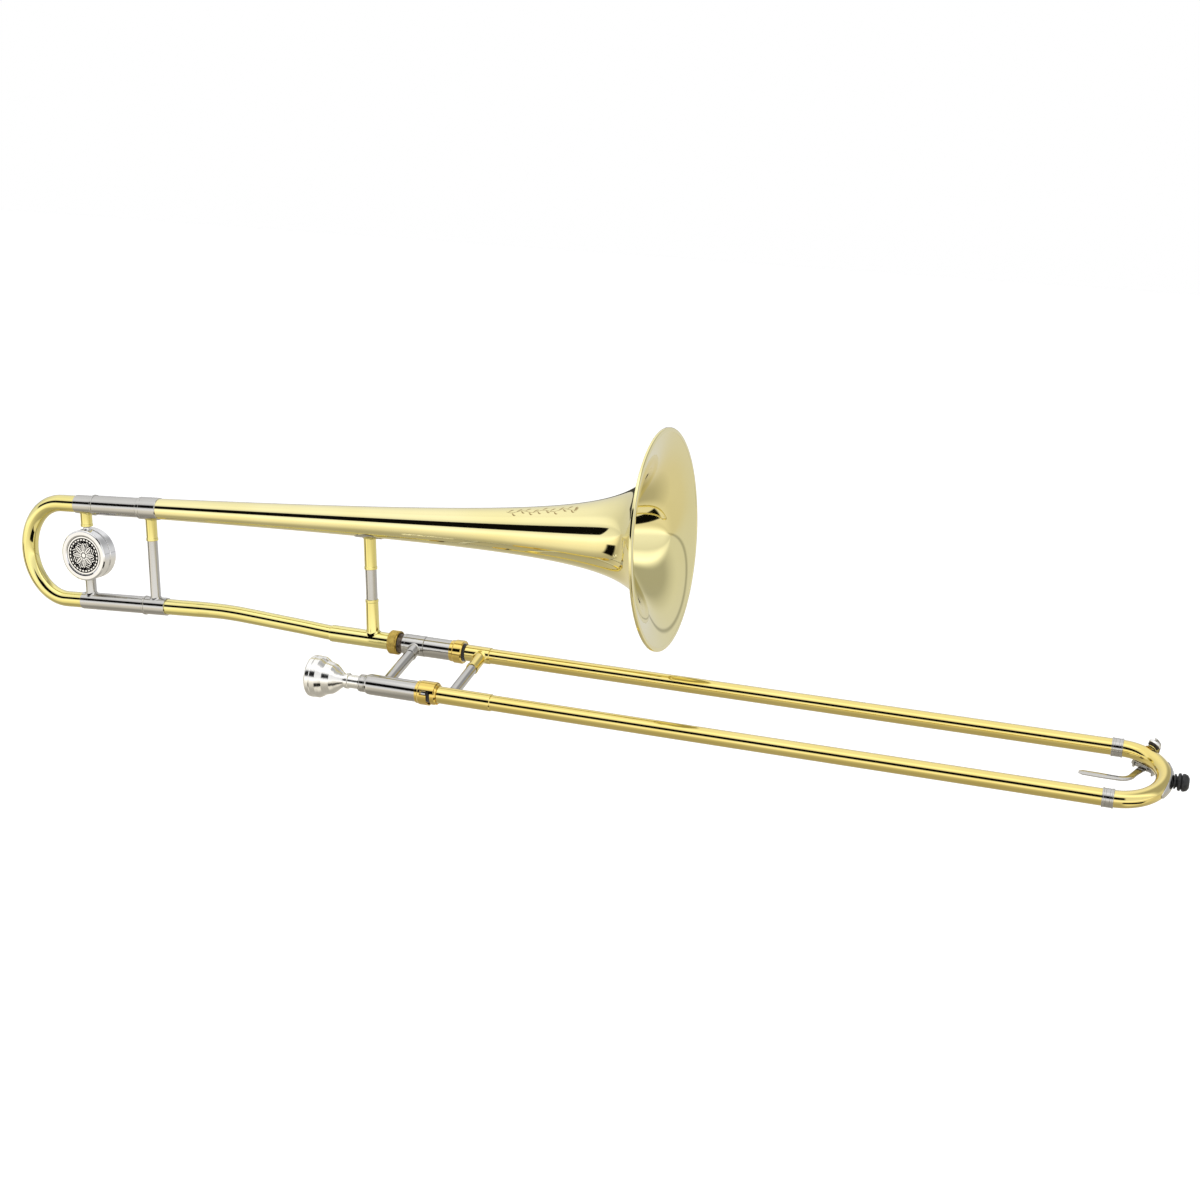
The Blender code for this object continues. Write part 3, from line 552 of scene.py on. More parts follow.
stem = [SCROLL_S0 + 0.5 * k for k in range(int(2 * (SCROLL_S1 - SCROLL_S0)) + 1)]
ribbon([(s, stem_at(s)) for s in stem], [0.45] * len(stem))
for i in range(16):
    s = SCROLL_S0 + 2.0 + 4.2 * i
    up = 1 if i % 2 else -1
    leaf = []
    for k in range(9):
        t = k / 8
        leaf.append((s + 4.4 * t, stem_at(s) + up * (0.4 + 3.2 * math.sin(1.9 * t))))
    ribbon(leaf, [0.25 + 1.15 * math.sin(math.pi * k / 8) for k in range(9)])
for i in range(7):
    turn = math.radians(-66 + 22 * i)
    ray = [(SCROLL_S1 + (0.8 + 0.55 * k) * math.cos(turn), (0.8 + 0.55 * k) * math.sin(turn))
           for k in range(7)]
    ribbon(ray, [0.25 + 0.55 * math.sin(math.pi * k / 6) for k in range(7)])
new_piece("bell_leaf_scroll", scroll_bm, BELL_AXIS, "engraved", "bell_section")

turned("bell_tail_collar",
       [(-376.0, 10.35, 0.25), (-374.9, 10.5, 0.1), (-374.6, 11.15, 0.3), (-371.4, 11.15, 0.05),
        (-371.2, 11.0, 0.05), (-371.0, 11.15, 0.05), (-353.0, 11.15, 0.3), (-352.3, 10.75, 0.2)],
       [(-376.0, 9.6), (-352.3, 10.2)],
       BELL_AXIS, "nickel", "bell_section", "bell_tail_ferrule", segments=96)

turned("upper_slide_receiver",
       [(-428.7, 9.9, 0.1), (-428.6, 10.55, 0.5), (-426.7, 10.55, 0.5), (-426.4, 9.9, 0.15),
        (-376.1, 9.9, 0.1)],
       [(-428.7, 9.3), (-376.1, 9.3)],
       BELL_AXIS, "nickel", "bell_section", "upper_tuning_receiver", segments=96)
turned("lower_slide_receiver",
       [(-376.1, 9.0, 0.1), (-376.0, 9.7, 0.5), (-374.2, 9.7, 0.5), (-373.9, 9.0, 0.15),
        (-350.3, 9.0, 0.25)],
       [(-376.1, 8.3), (-350.3, 7.8)],
       LOWER_LEG, "nickel", "bell_section", "lower_tuning_receiver", segments=96)

neck_leg = [bell_pt(s, -BOW_SPACING) for s in (-357, -340, -312)]
neck_path = neck_leg + [Vector((x * MM, 0, z * MM)) for x, z in (
    (-205, 5.35), (-190, 5.8), (-175, 5.6), (-160, 4.95), (-130, 3.4), (-100, 1.9),
    (-85, 0.9), (-70, 0.1), (-55, 0), (-9, 0))]
neck_radii = [7.9, 7.9, 7.85, 7.6, 7.5, 7.5, 7.45, 7.3, 7.2, 7.2, 7.2, 7.2, 7.2]
PATH_STEPS = 8
neck_smooth = smooth_path(neck_path, PATH_STEPS)
neck_fine = []
for i in range(len(neck_smooth)):
    a = min(i // PATH_STEPS, len(neck_radii) - 2)
    t = i / PATH_STEPS - a
    neck_fine.append(neck_radii[a] * (1 - t) + neck_radii[a + 1] * t)
sweep("gooseneck_tube", neck_smooth, neck_fine, 0.7, "brass_painted_paler", "bell_section", "gooseneck",
      normal=SIDE)

turned("neck_outer_sleeve", [(-71.5, 7.7, 0.1), (-71.2, 8.1, 0.15), (-69.8, 8.25, 0.3),
                             (-9.4, 8.25, 0.3), (-8.3, 7.9, 0.2)],
       [(-71.5, 7.1), (-8.3, 7.1)],
       BELL_SIDE, "brass_painted_paler", "bell_section", "neck_sleeve")
turned("neck_receiver_taper", [(-8.0, 8.1), (-4.8, 8.1), (-4.7, 9.4, 0.2), (-2.7, 9.4, 0.2),
                               (-2.6, 8.1), (26.0, 7.6, 0.3)],
       [(-8.0, 6.9), (26.0, 6.6)],
       BELL_SIDE, "steel", "bell_section", "neck_taper")

# ---- front brace, with its curved saddle on the bell
FRONT_LEN = (BELL_AXIS_Z + FRONT_BRACE_S * math.sin(TILT)) / math.cos(TILT)
front_frame = frame_matrix(bell_pt(FRONT_BRACE_S), -BELL_UP, X_AXIS)
front_r = bell_radius(FRONT_BRACE_S)
saddle_bm = bmesh.new()
RIM_STEPS, RAD_STEPS = 64, 8
SADDLE_LONG, SADDLE_WIDE, SADDLE_WRAP = 15.6, 10.8, 1.12
SADDLE_THICK, SADDLE_EDGE = 0.85, 0.35
skins = []
for lift in (0.0, SADDLE_THICK):
    rings = [[saddle_bm.verts.new((0, 0, front_r + lift))]]
    for i in range(1, RAD_STEPS + 1):
        t = i / RAD_STEPS
        height = lift if i < RAD_STEPS else (0.0 if lift == 0.0 else SADDLE_EDGE)
        loop = []
        for angle in circle(RIM_STEPS):
            along = SADDLE_LONG * t * math.cos(angle)
            arc = SADDLE_WIDE * t * math.sin(angle) / front_r * SADDLE_WRAP
            rr = bell_radius(FRONT_BRACE_S + along) + height
            loop.append(saddle_bm.verts.new((along, rr * math.sin(arc), rr * math.cos(arc))))
        rings.append(loop)
    skins.append(rings)
for rings in skins:
    for k in range(RIM_STEPS):
        saddle_bm.faces.new((rings[0][0], rings[1][k], rings[1][(k + 1) % RIM_STEPS]))
    skin(saddle_bm, rings[1:])
skin(saddle_bm, [skins[0][-1], skins[1][-1]])
new_piece("bell_saddle", saddle_bm, front_frame, "nickel", "bell_section", "bell_saddle_flange")

strut("front_brace_top", front_frame,
      [(20, 6.0), (43.2, 5.95, 0.1), (43.6, 6.3, 0.25), (46.2, 6.3, 0.35), (46.2, 5.5)],
      "brass_painted_paler", "bell_section", "front_brace_upper_socket",
      foot0=(front_r + SADDLE_THICK, 0, 1.1))
strut("front_brace_middle", front_frame, [(45.5, 5.5), (76.3, 5.5)],
      "nickel", "bell_section", "front_brace_tube")
strut("front_brace_bottom", front_frame,
      [(75.8, 5.5), (75.8, 6.4, 0.35), (78.4, 6.4, 0.25), (78.8, 6.1, 0.1), (108, 6.3)],
      "brass_painted_paler", "bell_section", "front_brace_lower_socket", foot1=(8.25, FRONT_LEN, 1.4))

# ---- rear brace
rear_frame = frame_matrix(bell_pt(REAR_BRACE_S), -BELL_UP, X_AXIS)
strut("rear_brace_top", rear_frame,
      [(16, 5.6), (29.6, 5.6, 0.1), (30.0, 5.95, 0.25), (32.6, 5.95, 0.35), (32.6, 5.1)],
      "brass_painted_paler", "bell_section", "rear_brace_socket", foot0=(11.15, 0, 1.0))
strut("rear_brace_bottom", rear_frame, [(31.8, 5.1), (84, 5.1)],
      "nickel", "bell_section", "rear_brace_tube", foot1=(9.0, BOW_SPACING, 1.3))


# ======== bell lock nut
def knurled_material():
    """Deep gold brass, dull in the grooves of its knurling, with painted shade that darkens the
    grooves.
    """
    mat, tree, shader = shader_of("knurled_brass")
    flat = add(tree, "VectorMath", Vector=add(tree, "TexCoord").outputs["Object"])
    flat.operation = "MULTIPLY"
    flat.inputs[1].default_value = (1.0, 1.0, 0.0)
    radius = add(tree, "VectorMath", Vector=flat.outputs["Vector"])
    radius.operation = "LENGTH"
    depth = map_range(tree, radius.outputs["Value"], 0.0, 1.0, 11.20 * MM, 11.56 * MM)
    # painted shade: the ramp runs from dark brown in the knurl grooves to gold on the crests
    tones = [(0.0, (0.27, 0.18, 0.04)), (0.8, (0.72, 0.52, 0.13)), (1.0, GOLD_LIGHT)]
    feed(tree, shader, Base_Color=ramp(tree, depth, tones), Metallic=1.0,
         Roughness=map_range(tree, depth, 0.38, 0.08, 0.0, 1.0))
    bump(tree, shader, noise_at(tree, 900.0, detail=2.0), 0.05, 0.00003)
    return mat


NUT_R = 11.6
KNURL_COUNT, KNURL_PITCH, KNURL_DEEP = 27, 2.3, 0.42


def knurl(s, r, angle):
    """Fine diamond knurling on the widest part of the nut."""
    if r < NUT_R - 0.3 or s < -6.3 or s > 0.6:
        return r
    a = math.sin(KNURL_COUNT * angle + s * KNURL_PITCH)
    b = math.sin(KNURL_COUNT * angle - s * KNURL_PITCH)
    return r - KNURL_DEEP * (1 - abs(a * b) ** 0.5)


nut_section = rounded([(-8.0, 8.5), (-8.0, 10.8, 0.3), (-7.5, 11.3, 0.3), (-6.9, 11.6, 0.15),
                       (-6.5, 11.2)], closed=False)
nut_section += [(-6.4 + 0.18 * k, 11.6) for k in range(40)]
nut_section += rounded([(0.8, 11.2), (1.1, 11.6, 0.15), (1.7, 11.3, 0.3), (2.0, 10.8, 0.2),
                        (2.0, 9.75)], closed=False)
nut_section += [(-5.0, 9.75), (-5.1, 8.5)]
new_piece("bell_nut", revolve(nut_section, True, 270, knurl), BELL_SIDE, knurled_material(),
          "bell_lock_nut", "bell_lock_nut")


# ======== tuning slide
BOW_R = 0.5 * BOW_SPACING
BOW_STEPS = 72
bow_path = [bell_pt(-441.2), bell_pt(BOW_S + 6)]
bow_path += [bell_pt(BOW_S - BOW_DEPTH * math.sin(math.pi * i / BOW_STEPS),
                     BOW_R * (math.cos(math.pi * i / BOW_STEPS) - 1))
             for i in range(BOW_STEPS + 1)]
bow_path += [bell_pt(BOW_S + 6, -BOW_SPACING), bell_pt(-441.2, -BOW_SPACING)]
bow_radii = [8.5, 8.5] + [8.5 - 0.6 * i / BOW_STEPS for i in range(BOW_STEPS + 1)] + [7.9, 7.9]
sweep("tuning_bow_tube", bow_path, bow_radii, 0.7, "brass_painted_paler", "tuning_slide", "tuning_bow",
      normal=SIDE)

turned("upper_bow_collar",
       [(-449.0, 8.95, 0.1), (-448.7, 9.3, 0.25), (-429.4, 9.3, 0.2), (-429.1, 9.05, 0.1)],
       [(-449.0, 8.4), (-429.1, 8.4)],
       BELL_AXIS, "nickel", "tuning_slide", "upper_bow_ferrule", segments=96)
turned("upper_inner_tube",
       [(-440.9, 8.45), (-429.0, 8.45, 0.2), (-428.2, 9.15, 0.2), (-381.0, 9.15, 0.3)],
       [(-440.9, 7.9), (-429.0, 7.9), (-428.0, 8.6), (-381.0, 8.6)],
       BELL_AXIS, "nickel", "tuning_slide", "upper_inner_leg")
turned("lower_bow_collar",
       [(-448.6, 8.3, 0.1), (-448.3, 8.7, 0.25), (-376.6, 8.7, 0.25), (-376.3, 8.4, 0.1)],
       [(-448.6, 7.8), (-376.3, 7.8)],
       LOWER_LEG, "nickel", "tuning_slide", "lower_bow_sleeve", segments=96)
turned("lower_inner_tube", [(-440.9, 7.85, 0.1), (-357.4, 7.85, 0.2)],
       [(-440.9, 7.4), (-357.4, 7.4)],
       LOWER_LEG, "nickel", "tuning_slide", "lower_inner_leg")

# ---- counterweight
CW_RADIUS = 26.0
CW_HALF_DEPTH = 9.9
CW_DROP = 50.9
CW_TURN = math.radians(2)
post_frame = frame_matrix(bell_pt(COUNTERWEIGHT_S), -BELL_UP, X_AXIS)
face_dir = -(SIDE * math.cos(CW_TURN) + BELL_DIR * math.sin(CW_TURN))
drum_frame = frame_matrix(bell_pt(COUNTERWEIGHT_S, -CW_DROP), face_dir, BELL_UP)
strut("counterweight_top_socket", post_frame,
      [(14, 5.8), (19.7, 5.8, 0.1), (20.0, 6.15, 0.25), (22.2, 6.15, 0.35), (22.2, 4.3)],
      "brass_painted_paler", "tuning_slide", "counterweight_upper_post", foot0=(9.3, 0, 0.9))
strut("counterweight_neck", post_frame,
      [(22.0, 3.9), (22.3, 4.9, 0.4), (23.3, 3.9, 0.3), (26.6, 3.9)],
      "chrome", "tuning_slide")
strut("counterweight_foot_post", post_frame, [(76, 5.3), (86, 5.3)],
      "nickel", "tuning_slide", "counterweight_lower_post", foot1=(8.7, BOW_SPACING, 1.6))

H = CW_HALF_DEPTH
drum_outer = [(-H, 22.0, 0.5), (-H, 25.2, 0.6), (-H + 0.8, CW_RADIUS, 0.6), (-1.0, CW_RADIUS, 0.5),
              (-0.5, CW_RADIUS - 1.1, 0.25), (0.5, CW_RADIUS - 1.1, 0.25), (1.0, CW_RADIUS, 0.5),
              (H - 1.0, CW_RADIUS, 0.7), (H, 24.6, 0.9), (H, 21.2, 0.6), (H - 0.6, 19.9, 0.4),
              (H - 2.2, 19.6, 0.2)]
drum_back = [(-H + 0.5, 0.0), (-H + 0.5, 21.0, 0.4)]
drum_section = rounded(drum_back + drum_outer + [(H - 2.2, 0.0)], closed=False)
new_piece("counterweight_body", revolve(drum_section, False, 128), drum_frame, "chrome",
          "tuning_slide", "counterweight_drum")

RELIEF_LOW = H - 1.9
RELIEF_HIGH = H - 0.7


def relief_height(r, angle):
    """A rosette of eight petals in a beaded ring with leaf sprays; 0 is the hollow ground."""
    if r > 17.8:
        return 0.9
    if r > 16.8:
        return 0.0
    if r > 15.2:
        return 0.9 if abs(math.sin(14 * angle)) > 0.45 else 0.0
    if r > 14.2 or 2.4 < r < 3.1:
        return 0.0
    if r < 2.4:
        return 0.9
    petal = math.cos(4 * angle) ** 2
    edge = 3.0 + 10.6 * petal ** 0.55
    if r < edge - 1.0:
        return 0.0 if abs(math.sin(4 * angle)) * r < 1.6 and 4.5 < r < 11.5 else 0.9
    if r < edge + 0.5:
        return 0.0
    across = math.sin(r * 2.0 + 4 * math.sin(8 * angle))
    return 0.85 if across > 0.1 else 0.0


relief_bm = bmesh.new()
REL_R, REL_A = 96, 280
RELIEF_R = 19.4
RELIEF_BASE = H - 2.15
rings = []
for i in range(1, REL_R + 1):
    r = RELIEF_R * i / REL_R
    loop = []
    for angle in circle(REL_A):
        z = RELIEF_LOW + (RELIEF_HIGH - RELIEF_LOW) * relief_height(r, angle)
        loop.append(relief_bm.verts.new((r * math.cos(angle), r * math.sin(angle), z)))
    rings.append(loop)
top = relief_bm.verts.new((0, 0, RELIEF_LOW + (RELIEF_HIGH - RELIEF_LOW) * 0.9))
base = relief_bm.verts.new((0, 0, RELIEF_BASE))
skirt = [relief_bm.verts.new((v.co.x, v.co.y, RELIEF_BASE)) for v in rings[-1]]
for k in range(REL_A):
    j = (k + 1) % REL_A
    relief_bm.faces.new((top, rings[0][k], rings[0][j]))
    relief_bm.faces.new((rings[-1][j], rings[-1][k], skirt[k], skirt[j]))
    relief_bm.faces.new((base, skirt[j], skirt[k]))
skin(relief_bm, rings)
new_piece("counterweight_rosette", relief_bm, drum_frame, relief_material(), "tuning_slide",
          "counterweight_medallion", sharp=60)


# ======== inner slide
THREAD_PITCH, THREAD_DEEP = 1.2, 0.45


def threads(s, r, angle):
    """A fine thread on the receiver's collar."""
    if r < 8.8 or s > 6.2 or s < -1.8:
        return r
    return r - THREAD_DEEP * abs(math.sin(math.pi * s / THREAD_PITCH + 0.5 * angle))


# the receiver thread gets the darkened steel as painted shade, since it lies in shadow between the
# nut and the receiver
thread_section = rounded([(-2.2, 8.5), (-2.2, 8.8, 0.1), (-1.8, 8.9)], closed=False)
thread_section += [(-1.8 + 0.15 * k, 8.95) for k in range(1, 53)]
thread_section += [(6.3, 8.6), (7.4, 8.6), (7.4, 8.3)]
new_piece("receiver_thread", revolve(thread_section, True, 96, threads), BELL_SIDE, "painted_shade_steel",
          "inner_slide")
turned("slide_receiver",
       [(6.8, 8.9, 0.1), (6.85, 9.9, 0.35), (10.0, 9.9, 0.05), (10.2, 9.78, 0.05),
        (10.4, 9.9, 0.05), (29.0, 9.9, 0.15), (29.3, 9.6, 0.1)],
       [(6.8, 8.35, 0.1), (26.2, 8.0), (26.4, 7.1), (29.3, 7.0)],
       BELL_SIDE, "nickel", "inner_slide", "hand_slide_receiver", segments=96)
turned("bell_side_barrel_shell",
       [(29.35, 9.35, 0.1), (29.8, R_BARREL, 0.2), (56.3, R_BARREL, 0.1), (56.4, 8.9),
        (69.0, 8.9)],
       [(29.35, 6.8), (40.0, 7.05), (44.0, 8.4), (69.0, 8.4)],
       BELL_SIDE, "nickel", "inner_slide", "bell_side_barrel", segments=96)
turned("bell_side_collar",
       [(56.3, 9.9, 0.1), (56.6, 10.3, 0.3), (59.7, 10.3, 0.25), (60.7, 11.2, 0.6),
        (68.3, 11.2, 0.9), (69.5, 10.5, 0.3)],
       [(56.3, 8.8), (68.8, 8.8, 0.1), (69.0, 9.3, 0.1), (69.5, 9.4, 0.1)],
       BELL_SIDE, "gold", "inner_slide", "bell_side_end_ring", segments=96)
for side, placement in (("bell_side", BELL_SIDE), ("mouthpiece_side", MOUTH_SIDE)):
    felt_end = 71.1 if side == "bell_side" else 72.3
    turned(side + "_bumper_felt", [(60.0, 8.3, 0.3), (felt_end, 8.3, 0.5)],
           [(60.0, 7.0), (felt_end, 7.0, 0.3)],
           placement, "felt", "inner_slide", side + "_felt")
    x0 = 27.0 if side == "bell_side" else 4.2
    turned(side + "_inner_chromed_tube",
           [(x0, 6.62), (532.0, 6.62), (536.0, 6.75), (INNER_X1, 6.75, 0.25)],
           [(x0, 6.2), (INNER_X1, 6.35, 0.1)],
           placement, "chrome", "inner_slide", side + "_inner_tube")
turned("mouthpiece_socket",
       [(-3.0, 7.6, 0.1), (-2.8, 8.0, 0.25), (-1.5, 8.2, 0.2), (-1.1, 7.95, 0.1),
        (-0.7, 8.2, 0.2), (2.9, 8.2, 0.2), (3.1, 7.9, 0.1), (3.9, 7.8)],
       [(-3.0, 6.3, 0.2), (3.9, 6.2)],
       MOUTH_SIDE, "nickel", "inner_slide", "mouthpiece_receiver", segments=96)
turned("mouthpiece_side_barrel_shell",
       [(3.9, 8.0, 0.2), (4.6, 8.8, 0.5), (6.4, 9.55, 0.8), (9.4, R_BARREL, 0.5),
        (55.8, R_BARREL, 0.1), (55.9, 8.9), (66.6, 8.9)],
       [(3.9, 6.6), (24.0, 7.0), (28.0, 8.4), (66.6, 8.4)],
       MOUTH_SIDE, "nickel", "inner_slide", "mouthpiece_side_barrel", segments=96)
turned("leadpipe_tube", [(20.0, 6.1), (210.0, 6.1)], [(20.0, 5.0), (60.0, 5.2), (210.0, 5.7)],
       MOUTH_SIDE, "brass", "inner_slide", "leadpipe", segments=48)

inner_brace_frame = frame_matrix(slide_pt(INNER_BRACE_X), -ACROSS, X_AXIS)
strut("inner_brace_top", inner_brace_frame,
      [(14, 5.9), (17.2, 5.9, 0.1), (17.5, 6.15, 0.2), (19.2, 6.15, 0.3), (19.2, 5.4)],
      "nickel", "inner_slide", "inner_brace_socket", foot0=(9.9, 0, 0.8))
strut("inner_brace_bar", inner_brace_frame, [(18.6, 5.4), (64, 5.4)],
      "nickel", "inner_slide", "inner_brace_tube", foot1=(R_BARREL, SLIDE_SPACING, 1.0))


# ======== slide lock ring
LOCK_ANGLE = math.radians(150)
lock_dir = ACROSS * math.cos(LOCK_ANGLE) + NORMAL * math.sin(LOCK_ANGLE)
lock_low = X_AXIS.cross(lock_dir)
lock_ring = turned("lock_ring",
                   [(55.8, 10.1, 0.15), (56.2, 10.6, 0.3), (58.7, 10.6, 0.25), (59.7, 11.3, 0.5),
                    (73.6, 11.3, 0.7), (74.8, 10.9, 0.2)],
                   [(55.8, 9.2), (66.8, 9.2), (67.0, 10.4, 0.1), (74.8, 10.4, 0.1)],
                   MOUTH_SIDE, "gold", "slide_lock_ring", "slide_lock_ring", segments=96)
carve(lock_ring, block((5.0, 4.2, 9.0)),
      frame_matrix(slide_pt(66.0, -SLIDE_SPACING) + lock_dir * 10.5 * MM, X_AXIS, lock_dir))
carve(lock_ring, block((19.0, 18.0, 7.7)),
      frame_matrix(slide_pt(72.15, -SLIDE_SPACING) + lock_dir * 4 * MM + lock_low * 9 * MM,
                   X_AXIS, lock_dir))


# ======== mouthpiece
turned("mouthpiece_cup_and_shank",
       [(-53.4, 16.9, 0.6), (-52.9, 18.6, 0.9), (-51.3, 19.7, 0.9), (-47.8, 19.7, 0.3),
        (-47.2, 19.2, 0.2), (-46.6, 19.6, 0.3), (-42.0, 19.5, 1.5), (-39.2, 17.9, 1.5),
        (-36.4, 15.9, 1.5), (-33.5, 15.3, 1.5), (-29.6, 14.1, 3.0), (-26.6, 12.0, 3.0),
        (-23.6, 9.2, 3.0), (-20.8, 7.1, 2.0), (-18.8, 6.1, 0.6), (-17.9, 6.0, 0.1),
        (-17.3, 7.3, 0.5), (-14.5, 7.3, 0.5), (-13.9, 6.3, 0.2), (-3.2, 6.2),
        (17.5, 5.75, 0.2)],
       [(-53.4, 15.0, 0.9), (-52.3, 13.0, 0.7), (-49.0, 12.7, 1.0), (-42.0, 12.0, 2.0),
        (-36.0, 10.2, 3.0), (-30.0, 7.2, 3.0), (-26.0, 4.2, 1.0), (-23.5, 3.2, 0.8),
        (-19.0, 3.3, 1.0), (-10.0, 3.9), (17.5, 4.7)],
       MOUTH_SIDE, "silver", "mouthpiece", "mouthpiece", segments=128)


# ======== outer slide
FERRULE_EDGE = [(0.0, 7.5, 0.1), (0.1, 8.2, 0.3), (1.3, 8.2, 0.2), (1.5, 7.95, 0.06),
                (3.0, 7.95, 0.05), (3.15, 7.75, 0.05), (3.3, 7.95, 0.05)]
ferrule_outer = [(FERRULE_X0 + d, r, fillet) for d, r, fillet in FERRULE_EDGE]
ferrule_outer += [(FERRULE_X1 - d, r, fillet) for d, r, fillet in reversed(FERRULE_EDGE)]
for side, placement, tube_x0 in (("bell_side", BELL_SIDE, BELL_TUBE_X0),
                                 ("mouthpiece_side", MOUTH_SIDE, MOUTH_TUBE_X0)):
    turned(side + "_outer_slide_tube",
           [(tube_x0, R_OUTER, 0.15), (TUBE_X1, R_OUTER)],
           [(tube_x0, 6.95, 0.1), (TUBE_X1, 6.95)],
           placement, "brass", "outer_slide", side + "_outer_tube")
    turned(side + "_crook_collar", ferrule_outer, [(FERRULE_X0, 7.1), (FERRULE_X1, 7.1)],
           placement, "nickel", "outer_slide", side + "_crook_ferrule", segments=96)
turned("bell_side_slide_sleeve",
       [(71.9, 7.5, 0.1), (72.0, R_OVERSLEEVE, 0.3), (96.2, R_OVERSLEEVE, 0.3), (96.9, 7.3, 0.1)],
       [(71.9, 7.1), (96.9, 7.1)],
       BELL_SIDE, "brass", "outer_slide", "bell_side_oversleeve")
turned("mouthpiece_side_slide_sleeve",
       [(76.6, 7.5, 0.1), (76.7, R_OVERSLEEVE, 0.3), (128.6, R_OVERSLEEVE, 0.3),
        (129.3, 7.3, 0.1)],
       [(76.6, 7.1), (129.3, 7.1)],
       MOUTH_SIDE, "brass", "outer_slide", "mouthpiece_side_oversleeve")


def crook_pt(turn, out=0.0, up=0.0):
    """A point round the crook; turn is 0 at the bell side and pi at the mouthpiece side."""
    x = CROOK_X + (CROOK_DEPTH + out) * math.sin(turn)
    return slide_pt(x, (CROOK_R + out) * math.cos(turn) - CROOK_R, up)


CROOK_STEPS = 72
crook_path = [slide_pt(TUBE_X1 - 0.1)]
crook_path += [crook_pt(math.pi * i / CROOK_STEPS) for i in range(CROOK_STEPS + 1)]
crook_path.append(slide_pt(TUBE_X1 - 0.1, -SLIDE_SPACING))
sweep("crook_tube", crook_path, [R_OUTER] * len(crook_path), 0.6, "brass", "outer_slide",
      "slide_crook", segments=72)

outer_brace_frame = frame_matrix(slide_pt(OUTER_BRACE_X), -ACROSS, X_AXIS)
strut("outer_brace_top", outer_brace_frame,
      [(12, 5.6), (24.4, 5.6, 0.1), (24.8, 5.95, 0.25), (27.1, 5.95, 0.35), (27.1, 5.05)],
      "brass", "outer_slide", "outer_brace_socket", foot0=(R_OVERSLEEVE, 0, 1.5))
strut("outer_brace_bar", outer_brace_frame, [(26.4, 5.05), (66, 5.05)],
      "nickel", "outer_slide", "outer_brace_tube", foot1=(R_OVERSLEEVE, SLIDE_SPACING, 1.0))

lock_collar = turned("lock_collar",
                     [(70.9, 9.4, 0.2), (71.3, 10.0, 0.3), (75.4, 10.0, 0.3), (76.6, 9.2, 0.3)],
                     [(70.9, 8.5), (72.8, 8.5), (73.0, 7.1), (76.6, 7.1)],
                     MOUTH_SIDE, "gold", "outer_slide", "slide_lock_collar", segments=96)
carve(lock_collar, block((9.0, 5.0, 4.0)),
      frame_matrix(slide_pt(75.6, -SLIDE_SPACING) + lock_low * 10 * MM, X_AXIS, lock_dir))

# ---- guard plate round the crook's nose
NOSE_X = CROOK_X + CROOK_DEPTH + R_OUTER
guard_bm = bmesh.new()
G_TURN, G_LEAN = 40, 24
GUARD_HALF_TURN, GUARD_HALF_LEAN = 34, math.radians(54)
GUARD_LIFT, GUARD_TOP, GUARD_EDGE = 0.02, 0.75, 0.35
skins = []
for lift in (GUARD_LIFT, GUARD_TOP):
    grid = []
    for i in range(G_TURN + 1):
        turn = math.radians(90 + GUARD_HALF_TURN * (2 * i / G_TURN - 1))
        edge = math.sqrt(max(1 - (2 * i / G_TURN - 1) ** 2, 0.04))
        row = []
        for j in range(G_LEAN + 1):
            v = 2 * j / G_LEAN - 1
            lean = GUARD_HALF_LEAN * v * edge
            at_edge = lift == GUARD_TOP and (abs(v) > 0.999 or i in (0, G_TURN))
            r = R_OUTER + (GUARD_EDGE if at_edge else lift)
            row.append(guard_bm.verts.new(crook_pt(turn, r * math.cos(lean),
                                                   r * math.sin(lean)) / MM))
        grid.append(row)
    skins.append(grid)
for grid in skins:
    for i in range(G_TURN):
        for j in range(G_LEAN):
            guard_bm.faces.new((grid[i][j], grid[i][j + 1], grid[i + 1][j + 1], grid[i + 1][j]))
low, high = skins
border = [(i, 0) for i in range(G_TURN)] + [(G_TURN, j) for j in range(G_LEAN)]
border += [(G_TURN - i, G_LEAN) for i in range(G_TURN)] + [(0, G_LEAN - j) for j in range(G_LEAN)]
for (i, j), (k, m) in zip(border, border[1:] + border[:1]):
    guard_bm.faces.new((low[i][j], low[k][m], high[k][m], high[i][j]))
new_piece("crook_guard_plate", guard_bm, Matrix(), "nickel", "outer_slide", "crook_guard")

turned_solid("rubber_bumper",
             [(NOSE_X + d, r, fillet) for d, r, fillet in (
                 (0.3, 6.2, 0.3), (1.9, 6.2, 0.5), (2.3, 4.6, 0.4), (3.1, 4.6, 0.4),
                 (3.4, 7.0, 0.6), (4.6, 7.5, 0.7), (5.6, 7.3, 0.6), (6.0, 6.0, 0.3),
                 (6.5, 6.0, 0.3), (6.8, 7.3, 0.5), (8.4, 7.5, 1.0), (11.0, 6.6, 2.0),
                 (12.6, 3.8, 1.4))],
             frame_matrix(slide_pt(0, -CROOK_R), X_AXIS, ACROSS), "rubber", "outer_slide",
             "slide_end_bumper")


# ======== water key
KEY_TURN = math.radians(33)
NIPPLE_LEAN = math.radians(34)
HINGE_DROP = 12.0
key_centre = crook_pt(KEY_TURN)
key_along = (crook_pt(KEY_TURN + 0.01) - crook_pt(KEY_TURN - 0.01)).normalized()
key_radial = key_along.cross(NORMAL) * -1
nipple_dir = key_radial * math.cos(NIPPLE_LEAN) + NORMAL * math.sin(NIPPLE_LEAN)
nipple_frame = frame_matrix(key_centre, nipple_dir, key_along)
hinge_frame = frame_matrix(key_centre - NORMAL * HINGE_DROP * MM, key_along, key_radial)

